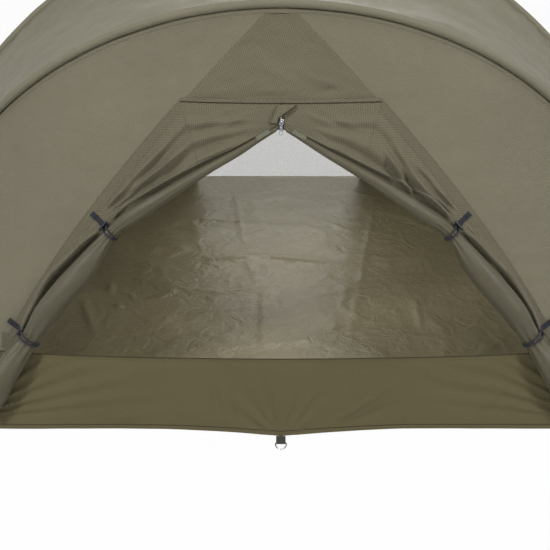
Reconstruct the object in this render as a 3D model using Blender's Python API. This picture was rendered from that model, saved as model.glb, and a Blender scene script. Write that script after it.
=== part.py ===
"""Hooped fishing brolly shelter with its front door rolled back.

Three hoops turn on one bolt in a pivot block at each side. X runs to the right, +Y away from the person
who looks at the door, +Z up. The origin is on the ground, at the middle of the straight front hem.
All sizes are in metres.
"""
import math

import bmesh
import bpy
from mathutils import Vector

# Clearances and cloth
GAP = 0.0003
CLOTH = 0.0010
LAYER_GAP = 0.0007
HEM_Z = 0.0022
SHEET_THICK = 0.0015

# Pivots: how far behind the straight front hem, and how high
PIVOT_BACK = 0.600
PIVOT_HEIGHT = 0.055

# Hoops: half the width at the pivots, height above them along the hoop, lean towards the back in degrees
FRONT_HALF_SPAN = 1.140
SPAN_STEP = 0.025
FRONT_RISE = 1.085
REAR_RISE = 1.150
MID_RISE = 1.220
FRONT_LEAN = -15.5
MID_LEAN = 14.0
REAR_LEAN = 50.0

# Rods, ferrules and sleeves
ROD_R = 0.0065
FERRULE_WALL = 0.0014
FERRULE_HALF = 0.050
SLEEVE_R = 0.0105
SLEEVE_PLAY = 0.0003
ROD_FOOT = 0.024
SOCKET_TOP = 0.105
SOCKET_WALL = 0.0028
SLEEVE_FOOT = 0.112
PANEL_FOOT = 0.130
CANOPY_SAG = 0.014
ARC_STEPS = 13
SOCKET_STEPS = 3

# Pivot block
BOLT_R = 0.006
EYE_R = 0.016
CHEEK = 0.008
PLATE_THICK = 0.008
PLATE_HALF_Y = 0.070
PLATE_FLANGE = 0.040
STOP_LOW = 0.032
STOP_HIGH = 0.062
STOP_DEEP = 0.016
HEAD_R = 0.0105
HEAD_THICK = 0.006
NUT_THICK = 0.008

# Ground outline
FRONT_CORNER_X = 0.860
FRONT_ROUND = 0.080
SIDE_INSET = 0.030
REAR_BACK = 1.980
REAR_CORNER_X = 0.660
REAR_ROUND = 0.160
REAR_INSET = 0.035
TAB_PULL = 0.034
TAB_PULL_HALF = 0.340
TAB_PULL_TOP = 0.250

# Front face: heights and half widths on the face
BAND_TOP = 0.192
APEX_HALF = 0.030
DOOR_BOW_X = 0.700
DOOR_BOW_Z = 0.440
DOOR_TOP = 0.860
HEADER_LAP = 0.010
DOOR_LAP = 0.012
DOOR_FOOT_Z = 0.206

# Rolled door half, as half width and height of the roll's middle
ROLL_PATH = [
    (0.017, 0.784),
    (0.180, 0.700),
    (0.305, 0.622),
    (0.441, 0.532),
    (0.524, 0.428),
    (0.598, 0.343),
    (0.668, 0.258),
    (0.745, 0.150),
    (0.806, 0.052),
]
ROLL_TOP_R = 0.006
ROLL_LOW_R = 0.037
DOOR_STEPS = 30
UPPER_TOGGLE = 14 / DOOR_STEPS
LOWER_TOGGLE = 24 / DOOR_STEPS
PINCH = 0.011
PINCH_LONG = 0.055
FOOT_LIFT = 0.0008
FOLD_HIGH = 0.004
FOLD_COUNT = 5

# Zip
CHAIN_HALF = 0.0030
CHAIN_HIGH = 0.0030
TAPE_HALF = 0.013
TAPE_FOOT = 0.791
CHAIN_FOOT = 0.798
SLIDER_FOOT = 0.803
SLIDER_LONG = 0.017
SLIDER_HALF = 0.0062
SLIDER_PLATE = 0.0016
BRIDGE_HALF = 0.0012
BRIDGE_HOLE = 0.0026
BRIDGE_BAR = 0.0012
PULL_HALF = 0.0030
PULL_LONG = 0.031
PULL_THICK = 0.0012

# Toggles
STRAP_WIDE = 0.013
STRAP_THICK = 0.0014
STRAP_LONG = 0.052
CORD_R = 0.00125
STRAND_APART = 0.0048
BAR_R = 0.0034
BAR_HALF = 0.0145
STEM_R = 0.0022
TOGGLE_OUT = 0.0135
LOOP_PLAY = 0.0019

# Tab and ring
TAB_WIDE = 0.026
TAB_THICK = 0.0024
TAB_LONG = 0.036
RING_WIRE = 0.0017
RING_HALF = 0.0165
RING_LONG = 0.030
RING_PLAY = 0.0004

# Rear window, its storm flap and ties
WINDOW_FOOT_HALF = 0.390
WINDOW_SHOULDER_HALF = 0.295
WINDOW_SHOULDER_Z = 0.480
WINDOW_TOP_HALF = 0.100
WINDOW_TOP_Z = 0.640
WINDOW_STEPS = 12
FLAP_Z = 0.692
FLAP_HALF = 0.300
FLAP_R = 0.024
TIE_THICK = 0.0015
TIE_HALF = 0.009
TIE_X = 0.170

# Colours, as linear red, green and blue
OLIVE = (0.165, 0.150, 0.095)
OLIVE_SIDE = (0.185, 0.175, 0.125)
OLIVE_BAND = (0.120, 0.108, 0.062)
SHEET_GREEN = (0.125, 0.110, 0.060)
MESH_GREY = (0.600, 0.605, 0.580)
NAVY = (0.015, 0.018, 0.026)
STEEL = (0.420, 0.430, 0.440)
ROD_GREY = (0.060, 0.062, 0.065)
NYLON = (0.030, 0.030, 0.032)


class Hoop:
    """An arc of a circle in a plane through the pivots, leaning back by lean_deg."""

    def __init__(self, half_span, rise, lean_deg):
        self.half_span = half_span
        self.rise = rise
        self.lean = math.radians(lean_deg)
        self.radius = (half_span**2 + rise**2) / (2 * rise)
        self.centre = rise - self.radius
        self.up = Vector((0, math.sin(self.lean), math.cos(self.lean)))
        self.out = Vector((0, math.cos(self.lean), -math.sin(self.lean)))

    def at(self, angle, inset=0.0):
        """The point at angle from the hoop's top, on an arc drawn inset inside the hoop's own."""
        r = self.radius - inset
        height = self.centre + r * math.cos(angle)
        return PIVOT + Vector((r * math.sin(angle), 0, 0)) + self.up * height

    def angle_at(self, height, inset=0.0):
        """The angle from the top at which the arc is this high above the pivots."""
        return math.acos((height - self.centre) / (self.radius - inset))

    def angle_across(self, x, inset=0.0):
        """The angle from the top at which the arc is x from the middle."""
        return math.asin(x / (self.radius - inset))

    def stations(self):
        """Angles from the top down one side, shared by all that lies along the hoop."""
        first = FERRULE_HALF / self.radius
        last = self.angle_at(PANEL_FOOT)
        found = [0.0]
        found += [first + (last - first) * k / ARC_STEPS for k in range(ARC_STEPS + 1)]
        return found + [self.angle_at(SLEEVE_FOOT)]

    def socket_stations(self):
        """Angles from the socket's mouth down to the rod's foot."""
        heights = [SOCKET_TOP + (ROD_FOOT - SOCKET_TOP) * k / SOCKET_STEPS for k in range(SOCKET_STEPS + 1)]
        return [self.angle_at(h) for h in heights]

    def bow(self):
        """How far the middle of one straight stretch between two stations lies inside the arc."""
        return self.radius * (1 - math.cos((self.stations()[3] - self.stations()[2]) / 2))


PIVOT = Vector((0, PIVOT_BACK, PIVOT_HEIGHT))
FRONT = Hoop(FRONT_HALF_SPAN, FRONT_RISE, FRONT_LEAN)
REAR = Hoop(FRONT_HALF_SPAN + SPAN_STEP, REAR_RISE, REAR_LEAN)
MID = Hoop(FRONT_HALF_SPAN + 2 * SPAN_STEP, MID_RISE, MID_LEAN)
SIDE_END_X = FRONT.half_span - SIDE_INSET
REAR_END_X = REAR.half_span - REAR_INSET
EDGE = SLEEVE_R + GAP
FACE_EDGE = EDGE + FRONT.bow()
REAR_EDGE = EDGE + REAR.bow()
DOOR_OUT = CLOTH + LAYER_GAP
SIDES = {"left": -1, "right": 1}


def rounded(u, reach):
    """max(u, 0) with its corner rounded over reach on each side."""
    if u < -reach:
        return 0.0
    if u > reach:
        return u
    return (u + reach) ** 2 / (4 * reach)


def front_hem(x):
    """How far back the front hem is at x, without the pull of the middle tab."""
    slope = PIVOT_BACK / (FRONT_HALF_SPAN - FRONT_CORNER_X)
    return slope * rounded(abs(x) - FRONT_CORNER_X, FRONT_ROUND)


def rear_hem(x):
    """How far back the rear hem is at x."""
    slope = (REAR_BACK - PIVOT_BACK) / (REAR.half_span - REAR_CORNER_X)
    return REAR_BACK - slope * rounded(abs(x) - REAR_CORNER_X, REAR_ROUND)


def tab_pull(x, z):
    """How far the middle tab draws the face forward at x and z."""
    near = max(0.0, 1 - abs(x) / TAB_PULL_HALF) ** 1.4
    low = max(0.0, 1 - z / TAB_PULL_TOP) ** 2
    return TAB_PULL * near * low


def front_y(x, z):
    """The front face: a straight line at each x from the hem up to the front hoop's sleeve."""
    top = FRONT.at(FRONT.angle_across(x, FACE_EDGE), FACE_EDGE)
    share = z / top.z
    return front_hem(x) * (1 - share) + top.y * share - tab_pull(x, z)


def rear_y(x, z):
    """The rear wall: a straight line at each x from the hem up to the rear hoop's sleeve."""
    top = REAR.at(REAR.angle_across(x, REAR_EDGE), REAR_EDGE)
    share = z / top.z
    return rear_hem(x) * (1 - share) + top.y * share


def on_face(depth, x, z, out, outward):
    """A point out in front of the face y = depth(x, z), where outward is -1 for the front and 1 for the rear."""
    step = 0.0005
    slope_x = (depth(x + step, z) - depth(x - step, z)) / (2 * step)
    slope_z = (depth(x, z + step) - depth(x, z - step)) / (2 * step)
    normal = Vector((-slope_x, 1, -slope_z)).normalized() * outward
    return Vector((x, depth(x, z), z)) + normal * out


def front_point(x, z, out=0.0):
    return on_face(front_y, x, z, out, -1)


def rear_point(x, z, out=0.0):
    return on_face(rear_y, x, z, out, 1)


def door_edge(t):
    """The door section's outer seam, from the top of the front hoop (t 0) to the hem's corner (t 1)."""
    top_z = FRONT.at(FRONT.angle_across(APEX_HALF, FACE_EDGE), FACE_EDGE).z
    a = (1 - t) ** 2
    b = 2 * t * (1 - t)
    c = t**2
    x = a * APEX_HALF + b * DOOR_BOW_X + c * FRONT_CORNER_X
    z = a * top_z + b * DOOR_BOW_Z
    return x, z


def door_edge_at(z):
    """The place t on the door section's seam at height z."""
    low, high = 0.0, 1.0
    for _ in range(50):
        t = (low + high) / 2
        if door_edge(t)[1] > z:
            low = t
        else:
            high = t
    return (low + high) / 2


def along(points, count):
    """count + 1 evenly spaced points on the polyline through points."""
    lengths = [0.0]
    for a, b in zip(points, points[1:]):
        lengths.append(lengths[-1] + math.dist(a, b))
    found = []
    k = 0
    for i in range(count + 1):
        want = lengths[-1] * i / count
        while k < len(points) - 2 and lengths[k + 1] < want:
            k += 1
        share = (want - lengths[k]) / (lengths[k + 1] - lengths[k])
        found.append(tuple(a + (b - a) * share for a, b in zip(points[k], points[k + 1])))
    return found


def curve_through(points, per_span=12):
    """A smooth curve through points, as a dense polyline."""
    dense = []
    last = len(points) - 1
    for i in range(last):
        p = [points[max(i - 1, 0)], points[i], points[i + 1], points[min(i + 2, last)]]
        for k in range(per_span):
            t = k / per_span
            weights = (
                (-t + 2 * t**2 - t**3) / 2,
                (2 - 5 * t**2 + 3 * t**3) / 2,
                (t + 4 * t**2 - 3 * t**3) / 2,
                (t**3 - t**2) / 2,
            )
            dense.append(tuple(sum(w * q[n] for w, q in zip(weights, p)) for n in range(len(points[0]))))
    dense.append(tuple(points[last]))
    return dense


def material(name, colour, roughness, metallic=0.0):
    m = bpy.data.materials.new(name)
    m.use_nodes = True
    shader = m.node_tree.nodes["Principled BSDF"]
    shader.inputs["Base Color"].default_value = (*colour, 1)
    shader.inputs["Roughness"].default_value = roughness
    shader.inputs["Metallic"].default_value = metallic
    m.diffuse_color = (*colour, 1)
    return m


def add(name, verts, faces, look, origin=None, parent=None):
    """One named, closed, smooth-shaded piece with its origin where asked."""
    origin = Vector(origin) if origin else Vector((0, 0, 0))
    mesh = bpy.data.meshes.new(name)
    mesh.from_pydata([Vector(v) - origin for v in verts], [], faces)
    shaped = bmesh.new()
    shaped.from_mesh(mesh)
    bmesh.ops.recalc_face_normals(shaped, faces=shaped.faces)
    shaped.to_mesh(mesh)
    shaped.free()
    for face in mesh.polygons:
        face.use_smooth = True
    mesh.set_sharp_from_angle(angle=math.radians(35))
    mesh.materials.append(material(name, *look))
    piece = bpy.data.objects.new(name, mesh)
    bpy.context.scene.collection.objects.link(piece)
    piece.location = origin
    if parent:
        piece.parent = parent
        piece.location = origin - parent.location
    return piece


def combine(target, others):
    """Unites or cuts target with each (object, operation) of others, and takes those objects away."""
    for tool, operation in others:
        step = target.modifiers.new(tool.name, "BOOLEAN")
        step.object = tool
        step.operation = operation
        step.solver = "EXACT"
    bpy.context.view_layer.update()
    graph = bpy.context.evaluated_depsgraph_get()
    made = bpy.data.meshes.new_from_object(target.evaluated_get(graph))
    made.set_sharp_from_angle(angle=math.radians(35))
    target.modifiers.clear()
    target.data = made
    for tool, _ in others:
        bpy.data.objects.remove(tool)
    return target


def shell(rows, thickness):
    """A closed sheet around the middle surface given by rows of points. Returns its vertices and faces."""
    n_rows = len(rows)
    n_cols = len(rows[0])
    normals = []
    for i in range(n_rows):
        line = []
        for j in range(n_cols):
            down = Vector(rows[min(i + 1, n_rows - 1)][j]) - Vector(rows[max(i - 1, 0)][j])
            across = Vector(rows[i][min(j + 1, n_cols - 1)]) - Vector(rows[i][max(j - 1, 0)])
            line.append(down.cross(across).normalized())
        normals.append(line)
    verts = []
    for side in (0.5, -0.5):
        for i in range(n_rows):
            for j in range(n_cols):
                verts.append(Vector(rows[i][j]) + normals[i][j] * thickness * side)
    back = n_rows * n_cols
    faces = []
    for i in range(n_rows - 1):
        for j in range(n_cols - 1):
            a = i * n_cols + j
            faces.append((a, a + 1, a + n_cols + 1, a + n_cols))
            faces.append((back + a, back + a + n_cols, back + a + n_cols + 1, back + a + 1))
    for j in range(n_cols - 1):
        low = (n_rows - 1) * n_cols + j
        faces.append((j, back + j, back + j + 1, j + 1))
        faces.append((low, low + 1, back + low + 1, back + low))
    for i in range(n_rows - 1):
        left = i * n_cols
        right = left + n_cols - 1
        faces.append((left, left + n_cols, back + left + n_cols, back + left))
        faces.append((right, back + right, back + right + n_cols, right + n_cols))
    return verts, faces


def tube(points, radius, sides, bore=0.0, across=None):
    """A tube along points. radius is one value or one a point, and bore leaves it hollow.

    across is a direction square to the whole route, for a route in one plane."""
    points = [Vector(p) for p in points]
    radii = radius if isinstance(radius, list) else [radius] * len(points)
    last = len(points) - 1
    rings = []
    aside = Vector(across) if across else None
    for i, point in enumerate(points):
        tangent = (points[min(i + 1, last)] - points[max(i - 1, 0)]).normalized()
        if aside is None:
            aside = tangent.orthogonal()
        aside = (aside - tangent * aside.dot(tangent)).normalized()
        third = tangent.cross(aside)
        rings.append((point, aside.copy(), third))

    def ring_points(sizes):
        made = []
        for (point, a, b), r in zip(rings, sizes):
            for k in range(sides):
                turn = 2 * math.pi * (k + 0.5) / sides
                made.append(point + a * (r * math.cos(turn)) + b * (r * math.sin(turn)))
        return made

    verts = ring_points(radii)
    faces = []
    for i in range(last):
        for k in range(sides):
            a = i * sides + k
            b = i * sides + (k + 1) % sides
            faces.append((a, b, b + sides, a + sides))
    end = last * sides
    if not bore:
        faces.append(tuple(range(sides)))
        faces.append(tuple(end + k for k in reversed(range(sides))))
        return verts, faces
    inner = len(verts)
    verts += ring_points([bore] * len(points))
    for i in range(last):
        for k in range(sides):
            a = inner + i * sides + k
            b = inner + i * sides + (k + 1) % sides
            faces.append((a, a + sides, b + sides, b))
    for k in range(sides):
        n = (k + 1) % sides
        faces.append((k, n, inner + n, inner + k))
        faces.append((end + k, inner + end + k, inner + end + n, end + n))
    return verts, faces


def box(low, high):
    """A box from its low corner to its high corner."""
    x0, y0, z0 = low
    x1, y1, z1 = high
    verts = [(x, y, z) for z in (z0, z1) for y in (y0, y1) for x in (x0, x1)]
    faces = [(0, 2, 3, 1), (4, 5, 7, 6), (0, 1, 5, 4), (2, 6, 7, 3), (0, 4, 6, 2), (1, 3, 7, 5)]
    return verts, faces


def slab(outline, low, high, axis):
    """A prism: outline as pairs in the plane square to axis, from low to high along it."""
    verts = []
    for level in (low, high):
        for a, b in outline:
            spot = [a, b]
            spot.insert(axis, level)
            verts.append(spot)
    n = len(outline)
    faces = [tuple(range(n)), tuple(range(2 * n - 1, n - 1, -1))]
    for k in range(n):
        faces.append((k, k + n, (k + 1) % n + n, (k + 1) % n))
    return verts, faces


def mirrored(shape, side):
    """A shape's vertices and faces, turned over to the left when side is -1."""
    verts, faces = shape
    return [(v[0] * side, v[1], v[2]) for v in verts], faces


def disc(centre, radius, low, high, sides):
    """A cylinder along X from low to high."""
    _, y, z = centre
    outline = []
    for k in range(sides):
        turn = 2 * math.pi * (k + 0.5) / sides
        outline.append((y + radius * math.cos(turn), z + radius * math.sin(turn)))
    return slab(outline, low, high, 0)


def both_sides(angles):
    """Angles from 0 up, carried on to the other side of the top."""
    return [-a for a in reversed(angles[1:])] + angles


def beside(hoop, angle, towards):
    """The point beside the hoop's sleeve at angle, on the side that faces towards."""
    here = hoop.at(angle)
    tangent = (hoop.at(angle + 0.001) - hoop.at(angle - 0.001)).normalized()
    way = towards - here
    way = (way - tangent * way.dot(tangent)).normalized()
    return here + way * EDGE


def build_hoop(name, hoop, frame):
    """The two rods, their ferrule, the two sockets and the sleeve of one hoop."""
    rod_look = (ROD_GREY, 0.45)
    across = hoop.out
    joint = GAP / 2 / hoop.radius
    stations = hoop.stations()
    rod_angles = [joint] + stations[1:] + hoop.socket_stations()
    eye_half = SPAN_STEP / 2 - GAP
    socket_bore = ROD_R + GAP
    for side_name, side in SIDES.items():
        route = [hoop.at(side * a) for a in rod_angles]
        add(f"{name}_hoop_rod_{side_name}", *tube(route, ROD_R, 8, across=across), rod_look, PIVOT, frame)

        route = [hoop.at(side * a) for a in hoop.socket_stations() + [hoop.angle_at(EYE_R / 2)]]
        socket = add(
            f"{name}_hoop_socket_{side_name}",
            *tube(route, socket_bore + SOCKET_WALL, 10, across=across),
            (NYLON, 0.5),
            PIVOT,
            frame,
        )
        x = side * hoop.half_span
        eye = add("eye", *disc(PIVOT, EYE_R, x - eye_half, x + eye_half, 16), (NYLON, 0.5))
        high = hoop.angle_at(SOCKET_TOP + 0.01)
        deep = hoop.angle_at(ROD_FOOT - GAP)
        route = [hoop.at(side * a) for a in [high] + hoop.socket_stations()[:-1] + [deep]]
        rod_hole = add("rod_hole", *tube(route, socket_bore, 8, across=across), (NYLON, 0.5))
        bolt_hole = add("bolt_hole", *disc(PIVOT, BOLT_R + GAP, x - 0.03, x + 0.03, 12), (NYLON, 0.5))
        combine(socket, [(eye, "UNION"), (rod_hole, "DIFFERENCE"), (bolt_hole, "DIFFERENCE")])

    ferrule_bore = ROD_R + GAP
    ferrule_r = ferrule_bore + FERRULE_WALL
    route = [hoop.at(stations[1] * k) for k in (-1, 0, 1)]
    shape = tube(route, ferrule_r, 8, bore=ferrule_bore, across=across)
    add(f"{name}_hoop_ferrule", *shape, (STEEL, 0.35, 1.0), PIVOT, frame)

    route = [hoop.at(a) for a in both_sides(stations)]
    shape = tube(route, SLEEVE_R, 8, bore=ferrule_r + SLEEVE_PLAY, across=across)
    add(f"{name}_pole_sleeve", *shape, (OLIVE_SIDE, 0.85), PIVOT, frame)


def build_canopy(name, hoop_a, hoop_b, frame):
    """The canopy panel between two hoops, a little hollow between them."""
    rows = []
    angles_a = both_sides(hoop_a.stations()[:-1])
    angles_b = both_sides(hoop_b.stations()[:-1])
    for angle_a, angle_b in zip(angles_a, angles_b):
        a = beside(hoop_a, angle_a, hoop_b.at(angle_b))
        b = beside(hoop_b, angle_b, hoop_a.at(angle_a))
        inward = (Vector((0, PIVOT_BACK, 0)) - (a + b) / 2).normalized()
        high = 1 - (angle_a / angles_a[-1]) ** 2
        row = []
        for j in range(6):
            v = j / 5
            row.append(a.lerp(b, v) + inward * (CANOPY_SAG * 4 * v * (1 - v) * high))
        rows.append(row)
    add(name, *shell(rows, CLOTH), (OLIVE_SIDE, 0.85), PIVOT, frame)


def build_blocks():
    """The pivot blocks with their bolts and nuts."""
    eye_half = SPAN_STEP / 2 - GAP
    socket_r = ROD_R + GAP + SOCKET_WALL
    high = STOP_HIGH + socket_r
    inner = min(FRONT.half_span - eye_half, FRONT.at(FRONT.angle_at(high)).x - socket_r) - GAP
    outer = max(MID.half_span + eye_half, MID.at(MID.angle_at(high)).x + socket_r) + GAP
    z0 = PIVOT_HEIGHT
    y0 = PIVOT_BACK
    cheek_outline = [
        (y0 - 0.048, PLATE_THICK / 2),
        (y0 - 0.048, z0 + 0.026),
        (y0 - 0.044, z0 + STOP_HIGH + 0.004),
        (y0 - 0.014, z0 + STOP_HIGH + 0.004),
        (y0 + 0.026, z0 + 0.016),
        (y0 + 0.026, PLATE_THICK / 2),
    ]
    face = socket_r + GAP
    stop_outline = []
    for deep, high in ((0, STOP_LOW), (STOP_DEEP, STOP_LOW), (STOP_DEEP, STOP_HIGH), (0, STOP_HIGH)):
        spot = PIVOT + FRONT.up * high - FRONT.out * (face + deep)
        stop_outline.append((spot.y, spot.z))
    look = (NYLON, 0.55)
    for side_name, side in SIDES.items():
        low = (inner - CHEEK, y0 - PLATE_HALF_Y * 0.6, 0)
        high = (outer + CHEEK + PLATE_FLANGE, y0 + PLATE_HALF_Y, PLATE_THICK)
        origin = (side * (inner + outer) / 2, y0, 0)
        block = add(f"pivot_block_{side_name}", *mirrored(box(low, high), side), look, origin)
        tools = []
        for edge in (inner - CHEEK, outer):
            shape = mirrored(slab(cheek_outline, edge, edge + CHEEK, 0), side)
            tools.append((add("cheek", *shape, look), "UNION"))
        shape = mirrored(slab(stop_outline, inner - CHEEK / 2, outer + CHEEK / 2, 0), side)
        tools.append((add("stop", *shape, look), "UNION"))
        shape = mirrored(disc(PIVOT, BOLT_R + GAP, inner - 0.02, outer + 0.02, 12), side)
        tools.append((add("hole", *shape, look), "DIFFERENCE"))
        combine(block, tools)

        start = inner - CHEEK - GAP - NUT_THICK - 0.003
        end = outer + CHEEK + GAP
        shape = mirrored(disc(PIVOT, BOLT_R, start, end + 0.001, 12), side)
        bolt = add(f"pivot_bolt_{side_name}", *shape, (STEEL, 0.3, 1.0), (side * end, y0, z0))
        shape = mirrored(disc(PIVOT, HEAD_R, end, end + HEAD_THICK, 6), side)
        combine(bolt, [(add("head", *shape, (STEEL, 0.3, 1.0)), "UNION")])
        nut_end = inner - CHEEK - GAP
        shape = mirrored(disc(PIVOT, HEAD_R, nut_end - NUT_THICK, nut_end, 6), side)
        nut = add(f"pivot_nut_{side_name}", *shape, (STEEL, 0.3, 1.0), (side * nut_end, y0, z0))
        shape = mirrored(disc(PIVOT, BOLT_R + GAP, nut_end - 0.02, nut_end + 0.02, 12), side)
        combine(nut, [(add("nut_hole", *shape, (STEEL, 0.3, 1.0)), "DIFFERENCE")])


def ground_outline(inset):
    """The floor's outline just inside the hems, as a closed ring of (x, y)."""
    right = []
    for i in range(13):
        x = SIDE_END_X * (i / 12) ** 0.8 - inset * (i / 12)
        right.append((x, front_hem(x) - tab_pull(x, 0) + inset))
    for i in range(13):
        x = (SIDE_END_X - inset) * (1 - i / 12)
        right.append((x, rear_hem(x) - inset))
    left = [(-x, y) for x, y in reversed(right[1:-1])]
    return right + left


def build_floor():
    shape = slab(ground_outline(0.002), 0.0, SHEET_THICK, 2)
    add("groundsheet", *shape, (SHEET_GREEN, 0.35))


def build_front_face(frame):
    """Band, side panels and header: the front face behind the door halves."""
    corner = [FRONT_CORNER_X + FRONT_ROUND * (k / 6 - 1) for k in range(13)]
    beyond = [corner[-1] + (SIDE_END_X - corner[-1]) * share for share in (0.53, 1.0)]
    spread = both_sides([0.0, 0.05, 0.11, 0.18, 0.26, 0.36, 0.55, 0.70] + corner + beyond)
    rows = []
    for i in range(4):
        z = HEM_Z + (BAND_TOP - GAP - HEM_Z) * i / 3
        rows.append([front_point(x, z) for x in spread])
    add("bottom_band", *shell(rows, CLOTH), (OLIVE_BAND, 0.9), PIVOT, frame)

    foot = door_edge_at(BAND_TOP + GAP)
    end_angle = FRONT.angle_across(SIDE_END_X, FACE_EDGE)
    apex_angle = FRONT.angle_across(APEX_HALF + GAP, FACE_EDGE)
    for side_name, side in SIDES.items():
        rows = []
        for i in range(17):
            x_in, z_in = door_edge(foot * i / 16)
            x_in += GAP
            arc = FRONT.at(apex_angle + (end_angle - apex_angle) * max(i / 16, 0.03), FACE_EDGE)
            z_out = max(arc.z, BAND_TOP + GAP)
            row = []
            for j in range(9):
                share = j / 8
                x = x_in + (arc.x - x_in) * share
                z = z_in + (z_out - z_in) * share
                row.append(front_point(side * x, z))
            rows.append(row)
        add(f"side_panel_{side_name}", *shell(rows, CLOTH), (OLIVE_SIDE, 0.85), PIVOT, frame)

    rows = []
    foot = door_edge_at(DOOR_TOP - HEADER_LAP)
    for i in range(6):
        x, z = door_edge(foot * i / 5)
        rows.append([front_point((x - GAP) * (j / 4 - 1), z) for j in range(9)])
    add("door_header", *shell(rows, CLOTH), (OLIVE, 0.85), PIVOT, frame)


def door_outer_path():
    """The door half's outer edge: up the zip, along the top seam, then down the outer seam."""
    zip_edge = CHAIN_HALF + GAP * 2
    top_corner = door_edge_at(DOOR_TOP)
    foot = door_edge_at(DOOR_FOOT_Z)
    corner = (door_edge(top_corner)[0] + DOOR_LAP, DOOR_TOP)
    seam = [(zip_edge + (corner[0] - zip_edge) * k / 5, DOOR_TOP) for k in range(6)]
    edge = []
    for k in range(1, 17):
        x, z = door_edge(top_corner + (foot - top_corner) * k / 16)
        edge.append((x + DOOR_LAP, z))
    return seam, edge


def roll_radius(s):
    """The roll's radius at share s of its length: growing downwards, drawn in at the toggles."""
    grown = ROLL_TOP_R + (ROLL_LOW_R - ROLL_TOP_R) * min(1.0, s / 0.62) ** 1.1
    for spot, deep in ((UPPER_TOGGLE, PINCH), (LOWER_TOGGLE, PINCH)):
        grown -= deep * math.exp(-(((s - spot) / PINCH_LONG) ** 2))
    return grown


def door_out(s):
    """How far the door's cloth lies off the face: a little more at the foot, where the hem turns the corner."""
    return DOOR_OUT + FOOT_LIFT * min(1.0, max(0.0, (s - 0.70) / 0.08))


def door_station(middle, way, outer):
    """Axes of the roll at middle: the place on the face, the face's normal, and square across the roll."""
    here = front_point(*middle)
    normal = (front_point(*middle, 0.01) - here).normalized()
    ahead = front_point(middle[0] + way[0] * 0.01, middle[1] + way[1] * 0.01) - here
    aim = normal.cross(ahead).normalized()
    if aim.dot(front_point(*outer) - here) < 0:
        aim = -aim
    return here, normal, aim


def door_pairs(count):
    """For each of count + 1 stations down the right roll: share, middle, its way on, and the outer edge point."""
    middles = along(curve_through(ROLL_PATH), count)
    seam, edge = door_outer_path()
    top_share = 0.20
    foot_share = 0.80
    pairs = []
    for i, middle in enumerate(middles):
        s = i / count
        if s <= top_share:
            outer = along(seam, 40)[round(40 * s / top_share)]
        elif s <= foot_share:
            outer = along(edge, 80)[round(80 * (s - top_share) / (foot_share - top_share))]
        else:
            last = edge[-1]
            slip = (s - foot_share) / (1 - foot_share)
            end = (middle[0] + 0.030, middle[1] + 0.012)
            outer = (last[0] + (end[0] - last[0]) * slip, max(last[1] * (1 - slip) + end[1] * slip, end[1]))
        before = middles[max(i - 1, 0)]
        after = middles[min(i + 1, count)]
        long = math.dist(before, after)
        way = ((after[0] - before[0]) / long, (after[1] - before[1]) / long)
        pairs.append((s, middle, way, outer))
    return pairs


def build_door(side_name, side, frame):
    """One door half: its flat part, and the roll that the rest of it makes, as one cloth."""
    strips = 6
    turns = 10
    sections = []
    for s, middle, way, outer in door_pairs(DOOR_STEPS):
        r = roll_radius(s)
        off = door_out(s)
        here, normal, aim = door_station(middle, way, outer)
        lip = math.sqrt(2 * r * CLOTH - CLOTH**2)
        lip_at = (middle[0] - way[1] * lip, middle[1] + way[0] * lip)
        ripple_room = 1.0
        for spot in (UPPER_TOGGLE, LOWER_TOGGLE):
            ripple_room *= 1 - math.exp(-(((s - spot) / 0.07) ** 4))
        if s < 0.12 or s > 0.8:
            ripple_room = 0.0
        front = []
        back = []
        for k in range(strips + 1):
            u = k / strips
            fold = FOLD_HIGH * ripple_room * math.sin(math.pi * u) ** 2
            fold *= 0.5 + 0.5 * math.cos(2 * math.pi * (FOLD_COUNT * s + 0.8 * u))
            x = outer[0] + (lip_at[0] - outer[0]) * u
            z = outer[1] + (lip_at[1] - outer[1]) * u
            front.append(front_point(x, z, off + CLOTH / 2 + fold))
            x = outer[0] + (middle[0] - outer[0]) * u
            z = outer[1] + (middle[1] - outer[1]) * u
            back.append(front_point(x, z, off - CLOTH / 2 + fold))
        front[-1] = here + aim * lip + normal * (off + CLOTH / 2)
        back[-1] = here + normal * (off - CLOTH / 2)
        hub = here + normal * (off - CLOTH / 2 + r)
        start = -math.acos(lip / r)
        ring = []
        for k in range(1, turns + 1):
            turn = start + (1.5 * math.pi - start) * k / (turns + 1)
            ring.append(hub + aim * (r * math.cos(turn)) + normal * (r * math.sin(turn)))
        sections.append(front + ring + list(reversed(back)))
    size = len(sections[0])
    verts = [p for section in sections for p in section]
    faces = []
    for i in range(len(sections) - 1):
        for k in range(size):
            a = i * size + k
            b = i * size + (k + 1) % size
            faces.append((a, b, b + size, a + size))
    for base in (0, (len(sections) - 1) * size):
        for k in range(strips):
            mate = size - 1 - k
            faces.append((base + k, base + k + 1, base + mate - 1, base + mate))
        pivot = base + size - 1 - strips
        for k in range(strips, strips + turns):
            faces.append((pivot, base + k, base + k + 1))
    shape = mirrored((verts, faces), side)
    add(f"door_half_{side_name}", *shape, (OLIVE, 0.85), PIVOT, frame)


def from_local(base, shape, side=1):
    """A shape drawn in a local frame (origin, three axes), moved to where it belongs."""
    origin, a, b, c = base
    verts = [origin + a * v[0] + b * v[1] + c * v[2] for v in (Vector(v) for v in shape[0])]
    return mirrored((verts, shape[1]), side)


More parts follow.
